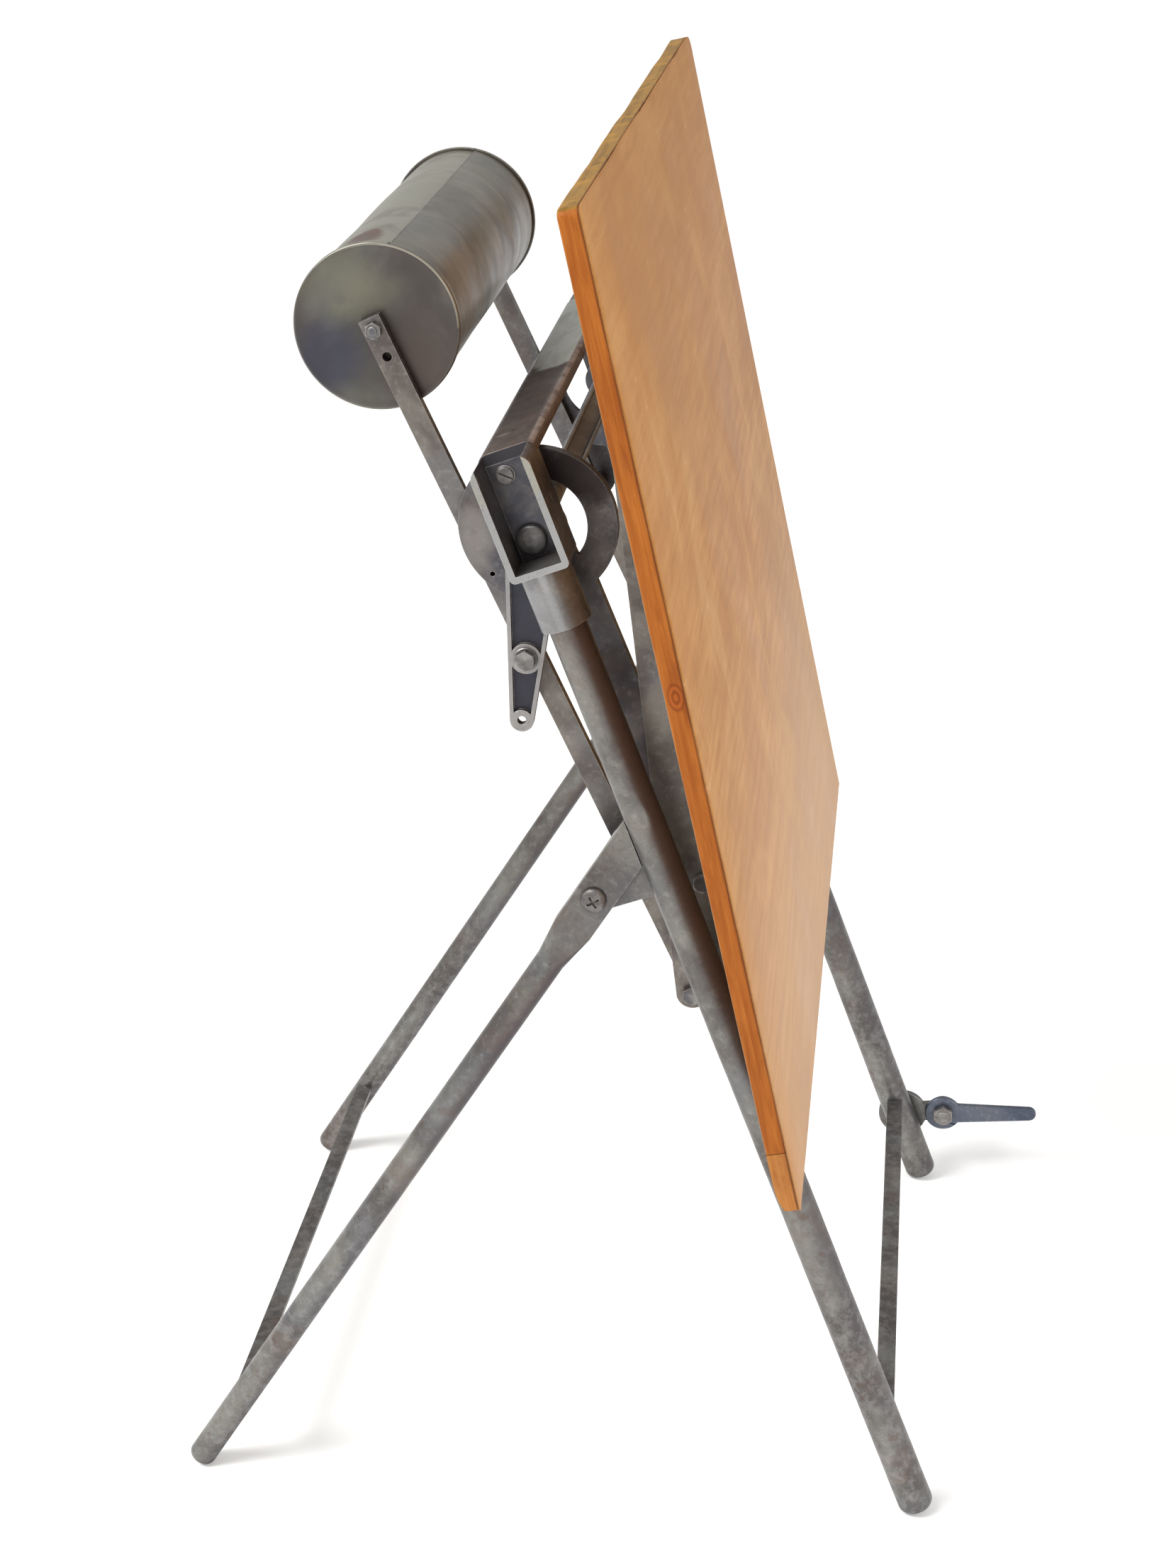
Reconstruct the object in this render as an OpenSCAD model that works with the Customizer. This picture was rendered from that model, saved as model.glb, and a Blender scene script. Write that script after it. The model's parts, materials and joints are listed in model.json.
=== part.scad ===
// Counterbalanced tabletop drawing easel. Millimetres, +Z up, the board faces -Y.
// Side-view positions are given as (y, z) from the point where the front legs' centre lines meet the table.

/* [Front legs] */
// Outside diameter of the front leg pipes
front_pipe_d = 21.3; // [20:0.1:22]
// Wall of the front leg pipes
front_pipe_wall = 2.5; // [1.5:0.1:3.5]
// Distance from the middle plane to each front leg
front_leg_x = 191.5; // [191:0.1:192]
// Lean of the front legs, degrees up from the table
front_lean = 70.1; // [69.5:0.1:70.6]
// Rounding of the closed front foot
front_foot_r = 6; // [4:0.5:8]

/* [Rear legs] */
// Outside diameter of the rear leg pipes
rear_pipe_d = 16.5; // [15:0.1:17]
// Wall of the rear leg pipes
rear_pipe_wall = 2; // [1.5:0.1:3]
// Distance from the middle plane to each rear leg
rear_leg_x = 188.5; // [188.3:0.1:188.7]
// Lean of the rear legs, degrees up from the table
rear_lean = 57.35; // [56.5:0.05:58]
// Rounding of the closed rear foot
rear_foot_r = 5; // [3:0.5:6]
// Fold pivot, distance behind the front feet
fold_y = 189.2; // [188.5:0.1:190]
// Fold pivot, height
fold_z = 394; // [393:0.1:395]
// Thickness of the flattened leg end
flat_t = 5; // [4.5:0.1:5.2]
// Width of the flattened leg end
flat_w = 22.3; // [20:0.1:23]

/* [Head brackets] */
// Rear half-width of the cast tray, across the front leg
tray_half = 16.5; // [15.5:0.1:16.5]
// Bottom of the tray, distance up the front leg
tray_s0 = 622; // [620:0.5:625]
// Top of the tray, distance up the front leg
tray_s1 = 686; // [686:0.5:690]
// Outboard rim of the tray
rim_x = 206; // [204:0.5:208]
// Outboard face of the tray's web
web_x = 179; // [178.9:0.1:179.2]
// Thickness of the web
web_t = 4; // [3.5:0.1:4]
// Thickness of the tray's walls
tray_wall = 3.6; // [2:0.1:4.5]
// Outside diameter of the socket round the pipe
socket_d = 28; // [26:0.5:30]
// Length of the socket
socket_h = 32; // [25:1:40]
// Thickness of the crossbar
crossbar_t = 6.5; // [5:0.1:6.6]

/* [Linkage] */
// Head shaft, distance behind the front feet
head_y = 219.9; // [219.5:0.1:220.5]
// Head shaft, height
head_z = 596.6; // [596:0.1:597]
// Diameter of the head shaft
shaft_d = 12; // [10:0.5:13]
// Lift arm, from the head shaft to its board pivot
arm_length = 220.4; // [215:0.1:225]
// Angle of the lift arm, degrees down from level, towards the board
arm_lean = 66.3; // [65:0.1:67]
// Tilt lever, from the head shaft to the weight bar pivot
link_length = 70.4; // [68:0.1:73]
// Angle of the tilt lever, degrees down from level, away from the board
link_lean = 85; // [83:0.1:87]
// Tilt lever, from the head shaft to its rod eye
eye_reach = 106; // [100:0.5:112]
// Diameter of the rod eye
eye_d = 4.7; // [4:0.1:6]
// Outer radius of the ring on the lift arm
ring_r = 43.1; // [41:0.1:43.1]
// Inner radius of the ring on the lift arm
ring_bore_r = 26.6; // [26:0.1:30]
// Width of the weight bars
bar_w = 12; // [10:0.5:14]

/* [Drum] */
// Drum, distance behind the front feet
drum_y = 305; // [300:0.5:310]
// Drum, height
drum_z = 699.5; // [695:0.5:705]
// Radius of the drum's shell
drum_r = 44.2; // [40:0.1:46]
// Half length of the drum over its caps
drum_half = 143.5; // [140:0.1:143.5]
// Radius of the iron slug inside the drum
ballast_r = 30; // [20:1:38]
// Length of the iron slug inside the drum
ballast_l = 142; // [60:1:200]

/* [Board] */
// Width of the board
board_w = 580; // [520:1:620]
// Height of the board, along its slope
board_h = 538; // [500:1:580]
// Thickness of the board
board_t = 12; // [10:0.5:14]
// Lean of the board, degrees up from the table
board_lean = 78.4; // [78:0.1:79]
// Lower back edge of the board, distance behind the front feet
board_y = 80.9; // [78:0.1:81]
// Lower back edge of the board, height
board_z = 262.2; // [258:0.1:266]
// Thickness of the thin face panel, part of the board's thickness
face_t = 1.5; // [1:0.1:3]
// Radius of the board's two top corners
corner_r = 6; // [3:1:20]
// Height of the cleat across the board's lower end
cleat_h = 35; // [25:1:42]
// Thickness of the bracket sheet on the board's back
bracket_t = 3; // [2:0.1:3.2]
// Width of the flange screwed to the board's back
flange_w = 25; // [20:1:30]

/* [Stretchers] */
// Leg of the stretchers' angle iron
angle_w = 11; // [9:0.5:13]
// Thickness of the stretchers' angle iron
angle_t = 2.5; // [1.5:0.1:3]
// Height of the front stretcher
front_stretcher_z = 61; // [50:1:90]
// Height of the rear stretcher
rear_stretcher_z = 53; // [45:1:90]

/* [Pedal] */
// Pedal pivot, distance behind the front feet (in front is negative)
pedal_y = -12.5; // [-14:0.1:-11]
// Pedal pivot, height
pedal_z = 48.5; // [46:0.1:52]
// Pedal, from its pivot to the middle of its rounded tip
pedal_reach = 61; // [50:1:80]
// Angle of the pedal, degrees up from level
pedal_rise = 2.2; // [0:0.1:6]

/* [Hidden] */

$fn = 48;
// Radial clearance of a pin that turns in a hole, and of a pin in an open pivot
running = 0.05;
loose = 0.1;
// Gap between faces that slide past each other
gap = 0.3;
// Overlap that makes a cut pass cleanly through a face
cut = 1;

front_r = front_pipe_d / 2;
rear_r = rear_pipe_d / 2;

// Distance along a leaning leg at which its rounded end stands exactly on the table
function foot_lift(r, corner, lean) = ((r - corner) * cos(lean) + corner) / sin(lean) - corner;
front_foot = foot_lift(front_r, front_foot_r, front_lean);
rear_foot = foot_lift(rear_r, rear_foot_r, rear_lean);

// Rear leg: length of its centre line below the fold pivot, and its rearmost point
rear_drop = fold_z / sin(rear_lean);
rear_back_y = fold_y + rear_drop * cos(rear_lean) + (rear_r - rear_foot_r) * sin(rear_lean)
  - (rear_foot + rear_foot_r) * cos(rear_lean) + rear_foot_r;

// Pedal tip, and the shift that puts the whole easel's middle over the origin
tip_r = 5;
pedal_front_y = pedal_y - pedal_reach * cos(pedal_rise) - tip_r;
shift_y = -(rear_back_y + pedal_front_y) / 2;

// Fold pivot in the front leg's own directions: s along the leg, p square to it and rearwards
fold_s = fold_y * cos(front_lean) + fold_z * sin(front_lean);
fold_p = fold_y * sin(front_lean) - fold_z * cos(front_lean);
head_s = head_y * cos(front_lean) + head_z * sin(front_lean);
head_p = head_y * sin(front_lean) - head_z * cos(front_lean);

// Pivots of the parallel linkage, as (y, z)
head = [head_y, head_z];
arm_step = arm_length * [-cos(arm_lean), -sin(arm_lean)];
link_step = link_length * [cos(link_lean), -sin(link_lean)];
lever_pivot = head + link_step;
upper_link = head + arm_step;
lower_link = upper_link + link_step;
drum = [drum_y, drum_z];

// Layers across the easel, as distances from the middle plane
gusset_x = 185.5;
gusset_t = 4;
flat_x = 191;
lever_x = 172;
lever_t = 5;
hub_x = 174.5;
hub_in_x = 157.5;
plate_x = 164;
arm_x = 157;
arm_t = 6;
bar_x = 150;
bar_t = 6;

// Fasteners
m6_r = 3;
drum_pin_r = 2.5;
m6_af = 10;
m8_r = 4;
m8_af = 13;
screw_head_r = 7.25;
screw_head_t = 4;
tray_screw_s = 672.5;
tray_screw_p = 4.2;
tray_screw_r = 2.5;
lug_t = 4;

// ---------- placing ----------

// Draws its children, made for the left (-X) side, on the side given: -1 left, 1 right
module on_side(side) {
  if (side > 0) mirror([1, 0, 0]) children();
  else children();
}

module both_sides() {
  for (side = [-1, 1]) on_side(side) children();
}

// A (y, z) outline extruded along X from x0
module side_plate(x0, t) {
  translate([x0, shift_y, 0]) rotate([90, 0, 90]) linear_extrude(t) children();
}

// Z along the front leg from the table, Y square to it and rearwards
module front_leg_frame() {
  translate([0, shift_y, 0]) rotate([front_lean - 90, 0, 0]) children();
}

// A (p, s) outline extruded along X from x0
module front_leg_plate(x0, t) {
  front_leg_frame() translate([x0, 0, 0]) rotate([90, 0, 90]) linear_extrude(t) children();
}

// Z up the rear leg from the fold pivot, Y square to it and rearwards
module rear_leg_frame() {
  translate([0, shift_y + fold_y, fold_z]) rotate([90 - rear_lean, 0, 0]) children();
}

module rear_leg_plate(x0, t) {
  rear_leg_frame() translate([x0, 0, 0]) rotate([90, 0, 90]) linear_extrude(t) children();
}

// Z up the board from its lower back edge, Y square to it and rearwards
module board_frame() {
  translate([0, shift_y + board_y, board_z]) rotate([board_lean - 90, 0, 0]) children();
}

// A (b, a) outline extruded along X from x0: b behind the board's back, a up the board
module board_plate(x0, t) {
  board_frame() translate([x0, 0, 0]) rotate([90, 0, 90]) linear_extrude(t) children();
}

// A round rod along X from x0 to x1 at a (y, z) point
module x_rod(x0, x1, at, r) {
  translate([x0, shift_y + at[0], at[1]]) rotate([0, 90, 0]) cylinder(r = r, h = x1 - x0);
}

// A hexagon prism along X, given by its width across flats
module x_hex(x0, x1, at, flats) {
  translate([x0, shift_y + at[0], at[1]]) rotate([0, 90, 0])
    cylinder(d = flats / cos(30), h = x1 - x0, $fn = 6);
}

// ---------- outlines ----------

function arc(c, r, a0, a1, steps = 6) =
  [for (i = [0 : steps]) c + r * [cos(a0 + (a1 - a0) * i / steps), sin(a0 + (a1 - a0) * i / steps)]];

// A bar with two round ends and the straight sides that touch both
module link_outline(p0, r0, p1, r1) {
  step = p1 - p0;
  heading = atan2(step[1], step[0]);
  side = acos((r0 - r1) / norm(step));
  polygon(concat(
    arc(p0, r0, heading + side, heading + 360 - side, 24),
    arc(p1, r1, heading - side, heading + side, 16)
  ));
}

// Closed pipe end standing on Z = foot, open at the top
module pipe(r, wall, corner, foot, top) {
  rotate_extrude() intersection() {
    square([r, top]);
    difference() {
      union() {
        translate([0, foot + corner]) square([r, top]);
        translate([0, foot]) square([r - corner, corner + cut]);
        translate([r - corner, foot + corner]) circle(corner);
      }
      translate([-cut, foot + corner]) square([r - wall + cut, top]);
    }
  }
}

// ---------- frame ----------

module front_leg(side) {
  color("dimgray") front_leg_frame() translate([side * front_leg_x, 0, 0])
    pipe(front_r, front_pipe_wall, front_foot_r, front_foot, tray_s0 - 2);
}

// The bare volume of a front leg, used to shape what is welded to it
module front_leg_space(side) {
  front_leg_frame() translate([side * front_leg_x, 0, 0]) cylinder(r = front_r, h = tray_s0);
}

module tray_outline(top, corner) {
  low = 3;
  polygon(concat(
    arc([-tray_half + low, tray_s0 + low], low, 180, 270),
    arc([tray_half - low, tray_s0 + low], low, 270, 360),
    arc([tray_half - corner, top - corner], corner, 0, 90),
    arc([-tray_half + corner, top - corner], corner, 90, 180)
  ));
}

module head_bracket(side) {
  seat_s = tray_s1 - crossbar_t;
  corner = 7;
  color("gray") on_side(side) difference() {
    union() {
      front_leg_plate(-web_x, web_t) intersection() {
        tray_outline(tray_s1, corner);
        translate([-tray_half, tray_s0]) square([2 * tray_half, seat_s - tray_s0]);
      }
      front_leg_plate(-rim_x, rim_x - web_x) difference() {
        tray_outline(tray_s1, corner);
        translate([tray_wall - tray_half, tray_s0 + tray_wall])
          square([2 * (tray_half - tray_wall), tray_s1]);
      }
      front_leg_frame() translate([-front_leg_x, 0, tray_s0 - socket_h])
        cylinder(d = socket_d, h = socket_h);
    }
    front_leg_frame() translate([-front_leg_x, 0, tray_s0 - socket_h - cut])
      cylinder(r = front_r, h = socket_h - 2 + cut);
    x_rod(-web_x - cut, -web_x + web_t + cut, head, shaft_d / 2 + running);
    front_leg_frame() translate([-web_x - cut, tray_screw_p, tray_screw_s]) rotate([0, 90, 0])
      cylinder(r = tray_screw_r + running, h = web_t + 2 * cut);
  }
}

module crossbar() {
  lug_s0 = 664;
  corner = 6;
  seat_s = tray_s1 - crossbar_t;
  color("saddlebrown") difference() {
    union() {
      front_leg_plate(-web_x, 2 * web_x) polygon(concat(
        [[-tray_half, seat_s], [tray_half, seat_s]],
        arc([tray_half - corner, tray_s1 - corner], corner, 0, 90),
        arc([-tray_half + corner, tray_s1 - corner], corner, 90, 180)
      ));
      both_sides() front_leg_plate(-web_x + web_t, lug_t)
        translate([tray_screw_p - 8, lug_s0]) square([16, seat_s - lug_s0 + cut]);
    }
    both_sides() front_leg_frame() translate([-web_x, tray_screw_p, tray_screw_s]) rotate([0, 90, 0])
      cylinder(r = tray_screw_r + running, h = web_t + lug_t + cut);
  }
}

// Slotted round-head screws that hold the crossbar's lugs to the trays
module crossbar_screws() {
  head_r = 4.3;
  head_t = 2.4;
  slot_w = 1;
  slot_angle = 50;
  color("darkgray") both_sides() front_leg_frame()
    translate([-web_x, tray_screw_p, tray_screw_s]) rotate([0, -90, 0]) {
      difference() {
        union() {
          cylinder(r = head_r + 1, h = 0.6);
          cylinder(r = head_r, h = head_t);
        }
        rotate(slot_angle) translate([-head_r - cut, -slot_w / 2, head_t - 1.2])
          cube([2 * (head_r + cut), slot_w, 2]);
      }
      translate([0, 0, -web_t - lug_t]) cylinder(r = tray_screw_r, h = web_t + lug_t);
    }
}

module gusset(side) {
  tip_r = 10;
  color("dimgray") on_side(side) difference() {
    front_leg_plate(-gusset_x, gusset_t) {
      translate([fold_p, fold_s]) circle(tip_r);
      polygon(concat(
        [[0, fold_s - tip_r], [fold_p, fold_s - tip_r]],
        arc([fold_p, fold_s], tip_r, -90, 40),
        [[20, fold_s + 32], [0, fold_s + 40]]
      ));
    }
    front_leg_space(-1);
    x_rod(-gusset_x - cut, -gusset_x + gusset_t + cut, [fold_y, fold_z], m8_r + running);
  }
}

// Corner bar between two legs: its ridge faces up and to the front or the rear
module angle_bar(at, half, turn) {
  translate([-half, shift_y + at[0], at[1]]) rotate([90, 0, 90]) linear_extrude(2 * half) rotate(turn)
    difference() {
      translate([-angle_w / 2, -angle_w / 2]) square(angle_w);
      translate([angle_t - angle_w / 2, -angle_w / 2 - cut]) square([angle_w, angle_w - angle_t + cut]);
    }
}

module front_stretcher() {
  color("dimgray") difference() {
    angle_bar([front_stretcher_z / tan(front_lean), front_stretcher_z], front_leg_x - 4, 0);
    for (side = [-1, 1]) front_leg_space(side);
  }
}

// Cross-recessed screws that the rear legs fold on
module leg_pivot_screws() {
  recess_w = 1.6;
  recess_l = 8;
  color("darkgray") both_sides() difference() {
    union() {
      translate([-flat_x - gap, shift_y + fold_y, fold_z]) rotate([0, -90, 0]) rotate_extrude()
        polygon(concat([[0, 0], [screw_head_r, 0], [screw_head_r, 1]],
          [for (a = [15 : 15 : 90]) [screw_head_r * cos(a), 1 + (screw_head_t - 1) * sin(a)]]));
      x_rod(-flat_x - gap, -gusset_x + gusset_t + 7, [fold_y, fold_z], m8_r);
    }
    for (a = [-30, 60]) translate([-flat_x - gap - screw_head_t, shift_y + fold_y, fold_z])
      rotate([a, 0, 0]) cube([3.4, recess_l, recess_w], center = true);
  }
}

module leg_pivot_nuts() {
  inner_x = -gusset_x + gusset_t;
  color("darkgray") both_sides() difference() {
    x_hex(inner_x, inner_x + 6, [fold_y, fold_z], m8_af);
    x_rod(inner_x - cut, inner_x + 7, [fold_y, fold_z], m8_r);
  }
}

// ---------- rear frame ----------

module rear_leg(side) {
  neck_u0 = -46;
  neck_u1 = -22;
  // The upper end is cut to lie along the front leg when the legs are open
  end_rear = 49.2;
  end_front = 32.1;
  half = flat_w / 2;
  color("dimgray") on_side(side) difference() {
    union() {
      rear_leg_frame() translate([-rear_leg_x, 0, -rear_drop])
        pipe(rear_r, rear_pipe_wall, rear_foot_r, rear_foot, rear_drop + neck_u0);
      rear_leg_frame() hull() {
        translate([-rear_leg_x, 0, neck_u0]) cylinder(r = rear_r, h = 0.2, $fn = 32);
        translate([-flat_x, -half, neck_u1]) cube([flat_t, flat_w, 0.2]);
      }
      rear_leg_plate(-flat_x, flat_t)
        polygon([[-half, neck_u1], [half, neck_u1], [half, end_rear], [-half, end_front]]);
    }
    x_rod(-flat_x - cut, -flat_x + flat_t + cut, [fold_y, fold_z], m8_r + running);
  }
}

module rear_stretcher() {
  at_y = fold_y + (fold_z - rear_stretcher_z) / tan(rear_lean);
  color("dimgray") difference() {
    angle_bar([at_y, rear_stretcher_z], rear_leg_x - 4, -90);
    for (side = [-1, 1]) rear_leg_frame() translate([side * rear_leg_x, 0, -rear_drop])
      cylinder(r = rear_r, h = rear_drop);
  }
}

// ---------- tilt yoke ----------

module head_shaft() {
  button_r = 8;
  button_t = 5.2;
  edge_t = 3.2;
  color("gray") {
    x_rod(-web_x - gap, web_x + gap, head, shaft_d / 2);
    both_sides() translate([-web_x - gap, shift_y + head_y, head_z]) rotate([0, -90, 0])
      rotate_extrude() polygon(concat([[0, 0], [button_r, 0], [button_r, edge_t]],
        [for (a = [15 : 15 : 90]) [button_r * cos(a), edge_t + (button_t - edge_t) * sin(a)]]));
  }
}

// The left lever runs on past its pivot to a rod eye; the right one is slimmer and ends at its pivot
module lever_outline(side, inset) {
  eye = head + eye_reach * [cos(link_lean), -sin(link_lean)];
  if (side < 0) link_outline(head, 15.9 - inset, eye, 6.6 - inset);
  else link_outline(head, 11 - inset, lever_pivot, 10.4 - inset);
}

module tilt_lever(side) {
  hub_r = side < 0 ? 16.5 : 11.5;
  rim = 2.3;
  pocket = 2.5;
  eye = head + eye_reach * [cos(link_lean), -sin(link_lean)];
  color("slategray") on_side(side) difference() {
    union() {
      side_plate(-lever_x, lever_t) lever_outline(side, 0);
      x_rod(-hub_x, -hub_in_x, head, hub_r);
      x_rod(-lever_x + lever_t - cut, -bar_x - gap, lever_pivot, 6);
    }
    side_plate(-lever_x - cut, pocket + cut) difference() {
      lever_outline(side, rim);
      translate(head) circle(hub_r + 0.7);
      translate(lever_pivot) circle(8.6);
      if (side < 0) translate(eye) circle(6);
    }
    x_rod(-hub_x - cut, -hub_in_x + cut, head, shaft_d / 2);
    x_rod(-lever_x - cut, -bar_x + cut, lever_pivot, m6_r);
    if (side < 0) x_rod(-lever_x - cut, -lever_x + lever_t + cut, eye, eye_d / 2);
  }
}

module lever_pivot_bolts() {
  washer_t = 1;
  color("darkgray") both_sides() {
    x_rod(-lever_x - washer_t, -lever_x, lever_pivot, 6.6);
    x_hex(-lever_x - washer_t - 3.5, -lever_x - washer_t, lever_pivot, m6_af);
    x_rod(-lever_x - washer_t, -bar_x + bar_t + 5, lever_pivot, m6_r);
  }
}

module m6_nut(x0, at) {
  difference() {
    x_hex(x0, x0 + 4, at, m6_af);
    x_rod(x0 - cut, x0 + 4 + cut, at, m6_r);
  }
}

module lever_pivot_nuts() {
  color("darkgray") both_sides() m6_nut(-bar_x + bar_t + gap, lever_pivot);
}

// ---------- lift arms ----------

module lift_arm(side) {
  hub_r = side < 0 ? 14 : 12;
  spoke_end = 35;
  stop_hole = [25.1, -27.6];
  knee = head + spoke_end * arm_step / arm_length;
  color("dimgray") on_side(side) difference() {
    side_plate(-arm_x, arm_t) difference() {
      union() {
        difference() {
          translate(head) circle(ring_r);
          // The left ring is open in front of its hub only, the right one all round it
          translate(head) intersection() {
            circle(ring_bore_r);
            translate([-2 * ring_r, -ring_r]) square([(side < 0 ? 2 : 4) * ring_r + 4, 2 * ring_r]);
          }
        }
        translate(head) circle(hub_r);
        translate(head) rotate(180 + arm_lean) translate([0, 1 - hub_r])
          square([spoke_end, 2 * (hub_r - 1)]);
        link_outline(knee, 17, upper_link, 8.5);
      }
      translate(head + stop_hole) circle(1.3);
    }
    x_rod(-arm_x - cut, -arm_x + arm_t + cut, head, shaft_d / 2 + running);
    x_rod(-arm_x - cut, -arm_x + arm_t + cut, upper_link, m6_r + running);
  }
}

// Channel across the easel that makes the two lift arms swing as one
module arm_tie_bar() {
  tie_angle = 117.5;
  tie_w = 13;
  tie_d = 10;
  tie_wall = 2;
  color("dimgray") side_plate(-arm_x + arm_t, 2 * (arm_x - arm_t))
    translate(head) rotate(tie_angle) translate([ring_r - 1 - tie_d, -tie_w / 2]) difference() {
      square([tie_d, tie_w]);
      translate([tie_wall, tie_wall]) square([tie_d, tie_w - 2 * tie_wall]);
    }
}

// ---------- counterweight ----------

module weight_bar(side) {
  end_past = 6.6;
  spare_drop = 15.6;
  run = drum - lower_link;
  heading = atan2(run[1], run[0]);
  color("gray") on_side(side) difference() {
    side_plate(-bar_x, bar_t) {
      translate(lower_link) circle(9);
      translate(lower_link) rotate(heading) translate([0, -bar_w / 2])
        square([norm(run) + end_past, bar_w]);
    }
    x_rod(-bar_x - cut, -bar_x + bar_t + cut, lower_link, m6_r + loose);
    x_rod(-bar_x - cut, -bar_x + bar_t + cut, lever_pivot, m6_r + running);
    x_rod(-bar_x - cut, -bar_x + bar_t + cut, drum, drum_pin_r + running);
    x_rod(-bar_x - cut, -bar_x + bar_t + cut, drum - spare_drop * run / norm(run), 2.6);
  }
}

module drum_shell() {
  shell_t = 1.5;
  half = drum_half - 1.5;
  color("gray") difference() {
    x_rod(-half, half, drum, drum_r);
    x_rod(-half - cut, half + cut, drum, drum_r - shell_t);
  }
}

module drum_cap(side) {
  skirt = 4;
  skirt_t = 0.5;
  disc_t = 1.5;
  color("gray") on_side(side) difference() {
    x_rod(-drum_half, -drum_half + skirt, drum, drum_r + skirt_t);
    x_rod(-drum_half + disc_t, -drum_half + skirt + cut, drum, drum_r);
    x_rod(-drum_half - cut, -drum_half + disc_t + cut, drum, drum_pin_r + running);
  }
}

module drum_rod() {
  color("darkgray") x_rod(-bar_x - 4.3, bar_x + 4.3, drum, drum_pin_r);
}

module drum_nuts() {
  nut_t = 3.5;
  color("darkgray") both_sides() difference() {
    x_hex(-bar_x - nut_t, -bar_x, drum, 8);
    x_rod(-bar_x - nut_t - cut, -bar_x + cut, drum, drum_pin_r);
  }
}

module drum_ballast() {
  color("dimgray") difference() {
    x_rod(-ballast_l / 2, ballast_l / 2, drum, ballast_r);
    x_rod(-ballast_l / 2 - cut, ballast_l / 2 + cut, drum, drum_pin_r);
  }
}

// ---------- board ----------

screw_a = [for (i = [0 : 4]) 65 + 75 * i];
board_screw_x = plate_x - bracket_t - flange_w / 2;
board_screw_depth = 8;
tongue_h = 8;
tongue_t = 4;
tongue_stop = 20;
core_t = board_t - face_t;
// Rounding of the cleat's lower back edge, up the board and into it
heel = [18, 4.2];

// A (x, a) outline extruded from b0 forward through the board's thickness
module board_slab(b0, t) {
  board_frame() translate([0, b0, 0]) rotate([90, 0, 0]) linear_extrude(t) children();
}

// The board's outline above a0, its two top corners rounded
module board_outline(a0) {
  half = board_w / 2;
  polygon(concat(
    [[-half, a0], [half, a0]],
    arc([half - corner_r, board_h - corner_r], corner_r, 0, 90),
    arc([-half + corner_r, board_h - corner_r], corner_r, 90, 180)
  ));
}

module board_tongue(extra) {
  board_frame()
    translate([tongue_stop - board_w / 2 - extra, -(core_t + tongue_t) / 2, cleat_h - tongue_h - extra])
      cube([board_w - 2 * (tongue_stop - extra), tongue_t, tongue_h + extra]);
}

module face_panel() {
  color("burlywood") board_slab(-core_t, face_t) board_outline(0);
}

module board_core() {
  color("peru") difference() {
    union() {
      board_slab(0, core_t) board_outline(cleat_h);
      board_tongue(0);
    }
    for (side = [-1, 1], a = screw_a) board_frame()
      translate([side * board_screw_x, -board_screw_depth, a]) rotate([-90, 0, 0])
        cylinder(r = 2, h = board_screw_depth + cut);
  }
}

// The strip across the lower end, worn round at its lower back edge
module bottom_cleat() {
  color("sandybrown") difference() {
    board_plate(-board_w / 2, board_w) polygon(concat(
      [[-core_t, cleat_h], [-core_t, 0]],
      [for (i = [0 : 6]) [-heel[1] * (1 - sin(15 * i)), heel[0] * (1 - cos(15 * i))]],
      [[0, cleat_h]]
    ));
    board_tongue(0.1);
  }
}

// Bent sheet bracket: a flange on the board's back and a plate that carries the two link pivots
module board_bracket(side) {
  a0 = 45;
  a1 = 395;
  boss_r = 9;
  top_b = 20.7;
  top_r = 7;
  // Pivots in the board's own directions
  function on_board(at) = let (y = at[0] - board_y, z = at[1] - board_z)
    [y * sin(board_lean) - z * cos(board_lean), y * cos(board_lean) + z * sin(board_lean)];
  low = on_board(lower_link);
  color("dimgray") on_side(side) difference() {
    union() {
      board_plate(-plate_x, bracket_t) {
        translate(low) circle(boss_r);
        polygon(concat(
          [[0, a0], [low[0] - 2, low[1] - boss_r + 0.2], [low[0] + boss_r, low[1]]],
          arc([top_b - top_r, a1 - top_r], top_r, 5, 90),
          [[0, a1]]
        ));
      }
      board_plate(-plate_x, bracket_t + flange_w) translate([0, a0]) square([bracket_t, a1 - a0]);
    }
    for (a = screw_a) board_frame() translate([-board_screw_x, -cut, a]) rotate([-90, 0, 0])
      cylinder(r = 2, h = bracket_t + 2 * cut);
    for (at = [upper_link, lower_link])
      x_rod(-plate_x - cut, -plate_x + bracket_t + cut, at, m6_r);
  }
}

module board_screws() {
  color("darkgray") for (side = [-1, 1], a = screw_a)
    board_frame() translate([side * board_screw_x, 0, a]) rotate([-90, 0, 0]) {
      translate([0, 0, -board_screw_depth]) cylinder(r = 2, h = board_screw_depth + bracket_t);
      translate([0, 0, bracket_t]) cylinder(r = 4, h = 1.8);
    }
}

// Hex bolt from outside the plate, with a sleeve that spaces the moving bar off the plate
module link_bolt(at, sleeve_x, end_x) {
  head_t = 4;
  x_hex(-plate_x - head_t, -plate_x, at, m6_af);
  x_rod(-plate_x, end_x, at, m6_r);
  x_rod(-plate_x + bracket_t, sleeve_x, at, 6);
}

module upper_link_bolts() {
  color("darkgray") both_sides() link_bolt(upper_link, -arm_x - gap, -arm_x + arm_t + 4.5);
}

module lower_link_bolts() {
  color("darkgray") both_sides() link_bolt(lower_link, -bar_x - gap, -bar_x + bar_t + 4.5);
}

module link_nuts() {
  color("darkgray") both_sides() {
    m6_nut(-arm_x + arm_t + gap, upper_link);
    m6_nut(-bar_x + bar_t + gap, lower_link);
  }
}

// ---------- pedal, on the right leg only ----------

pedal_pin = [pedal_y, pedal_z];
pad_x0 = 201;
pad_t = 5;
pedal_x0 = 196.8;
pedal_t = pad_x0 - gap - pedal_x0;

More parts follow.
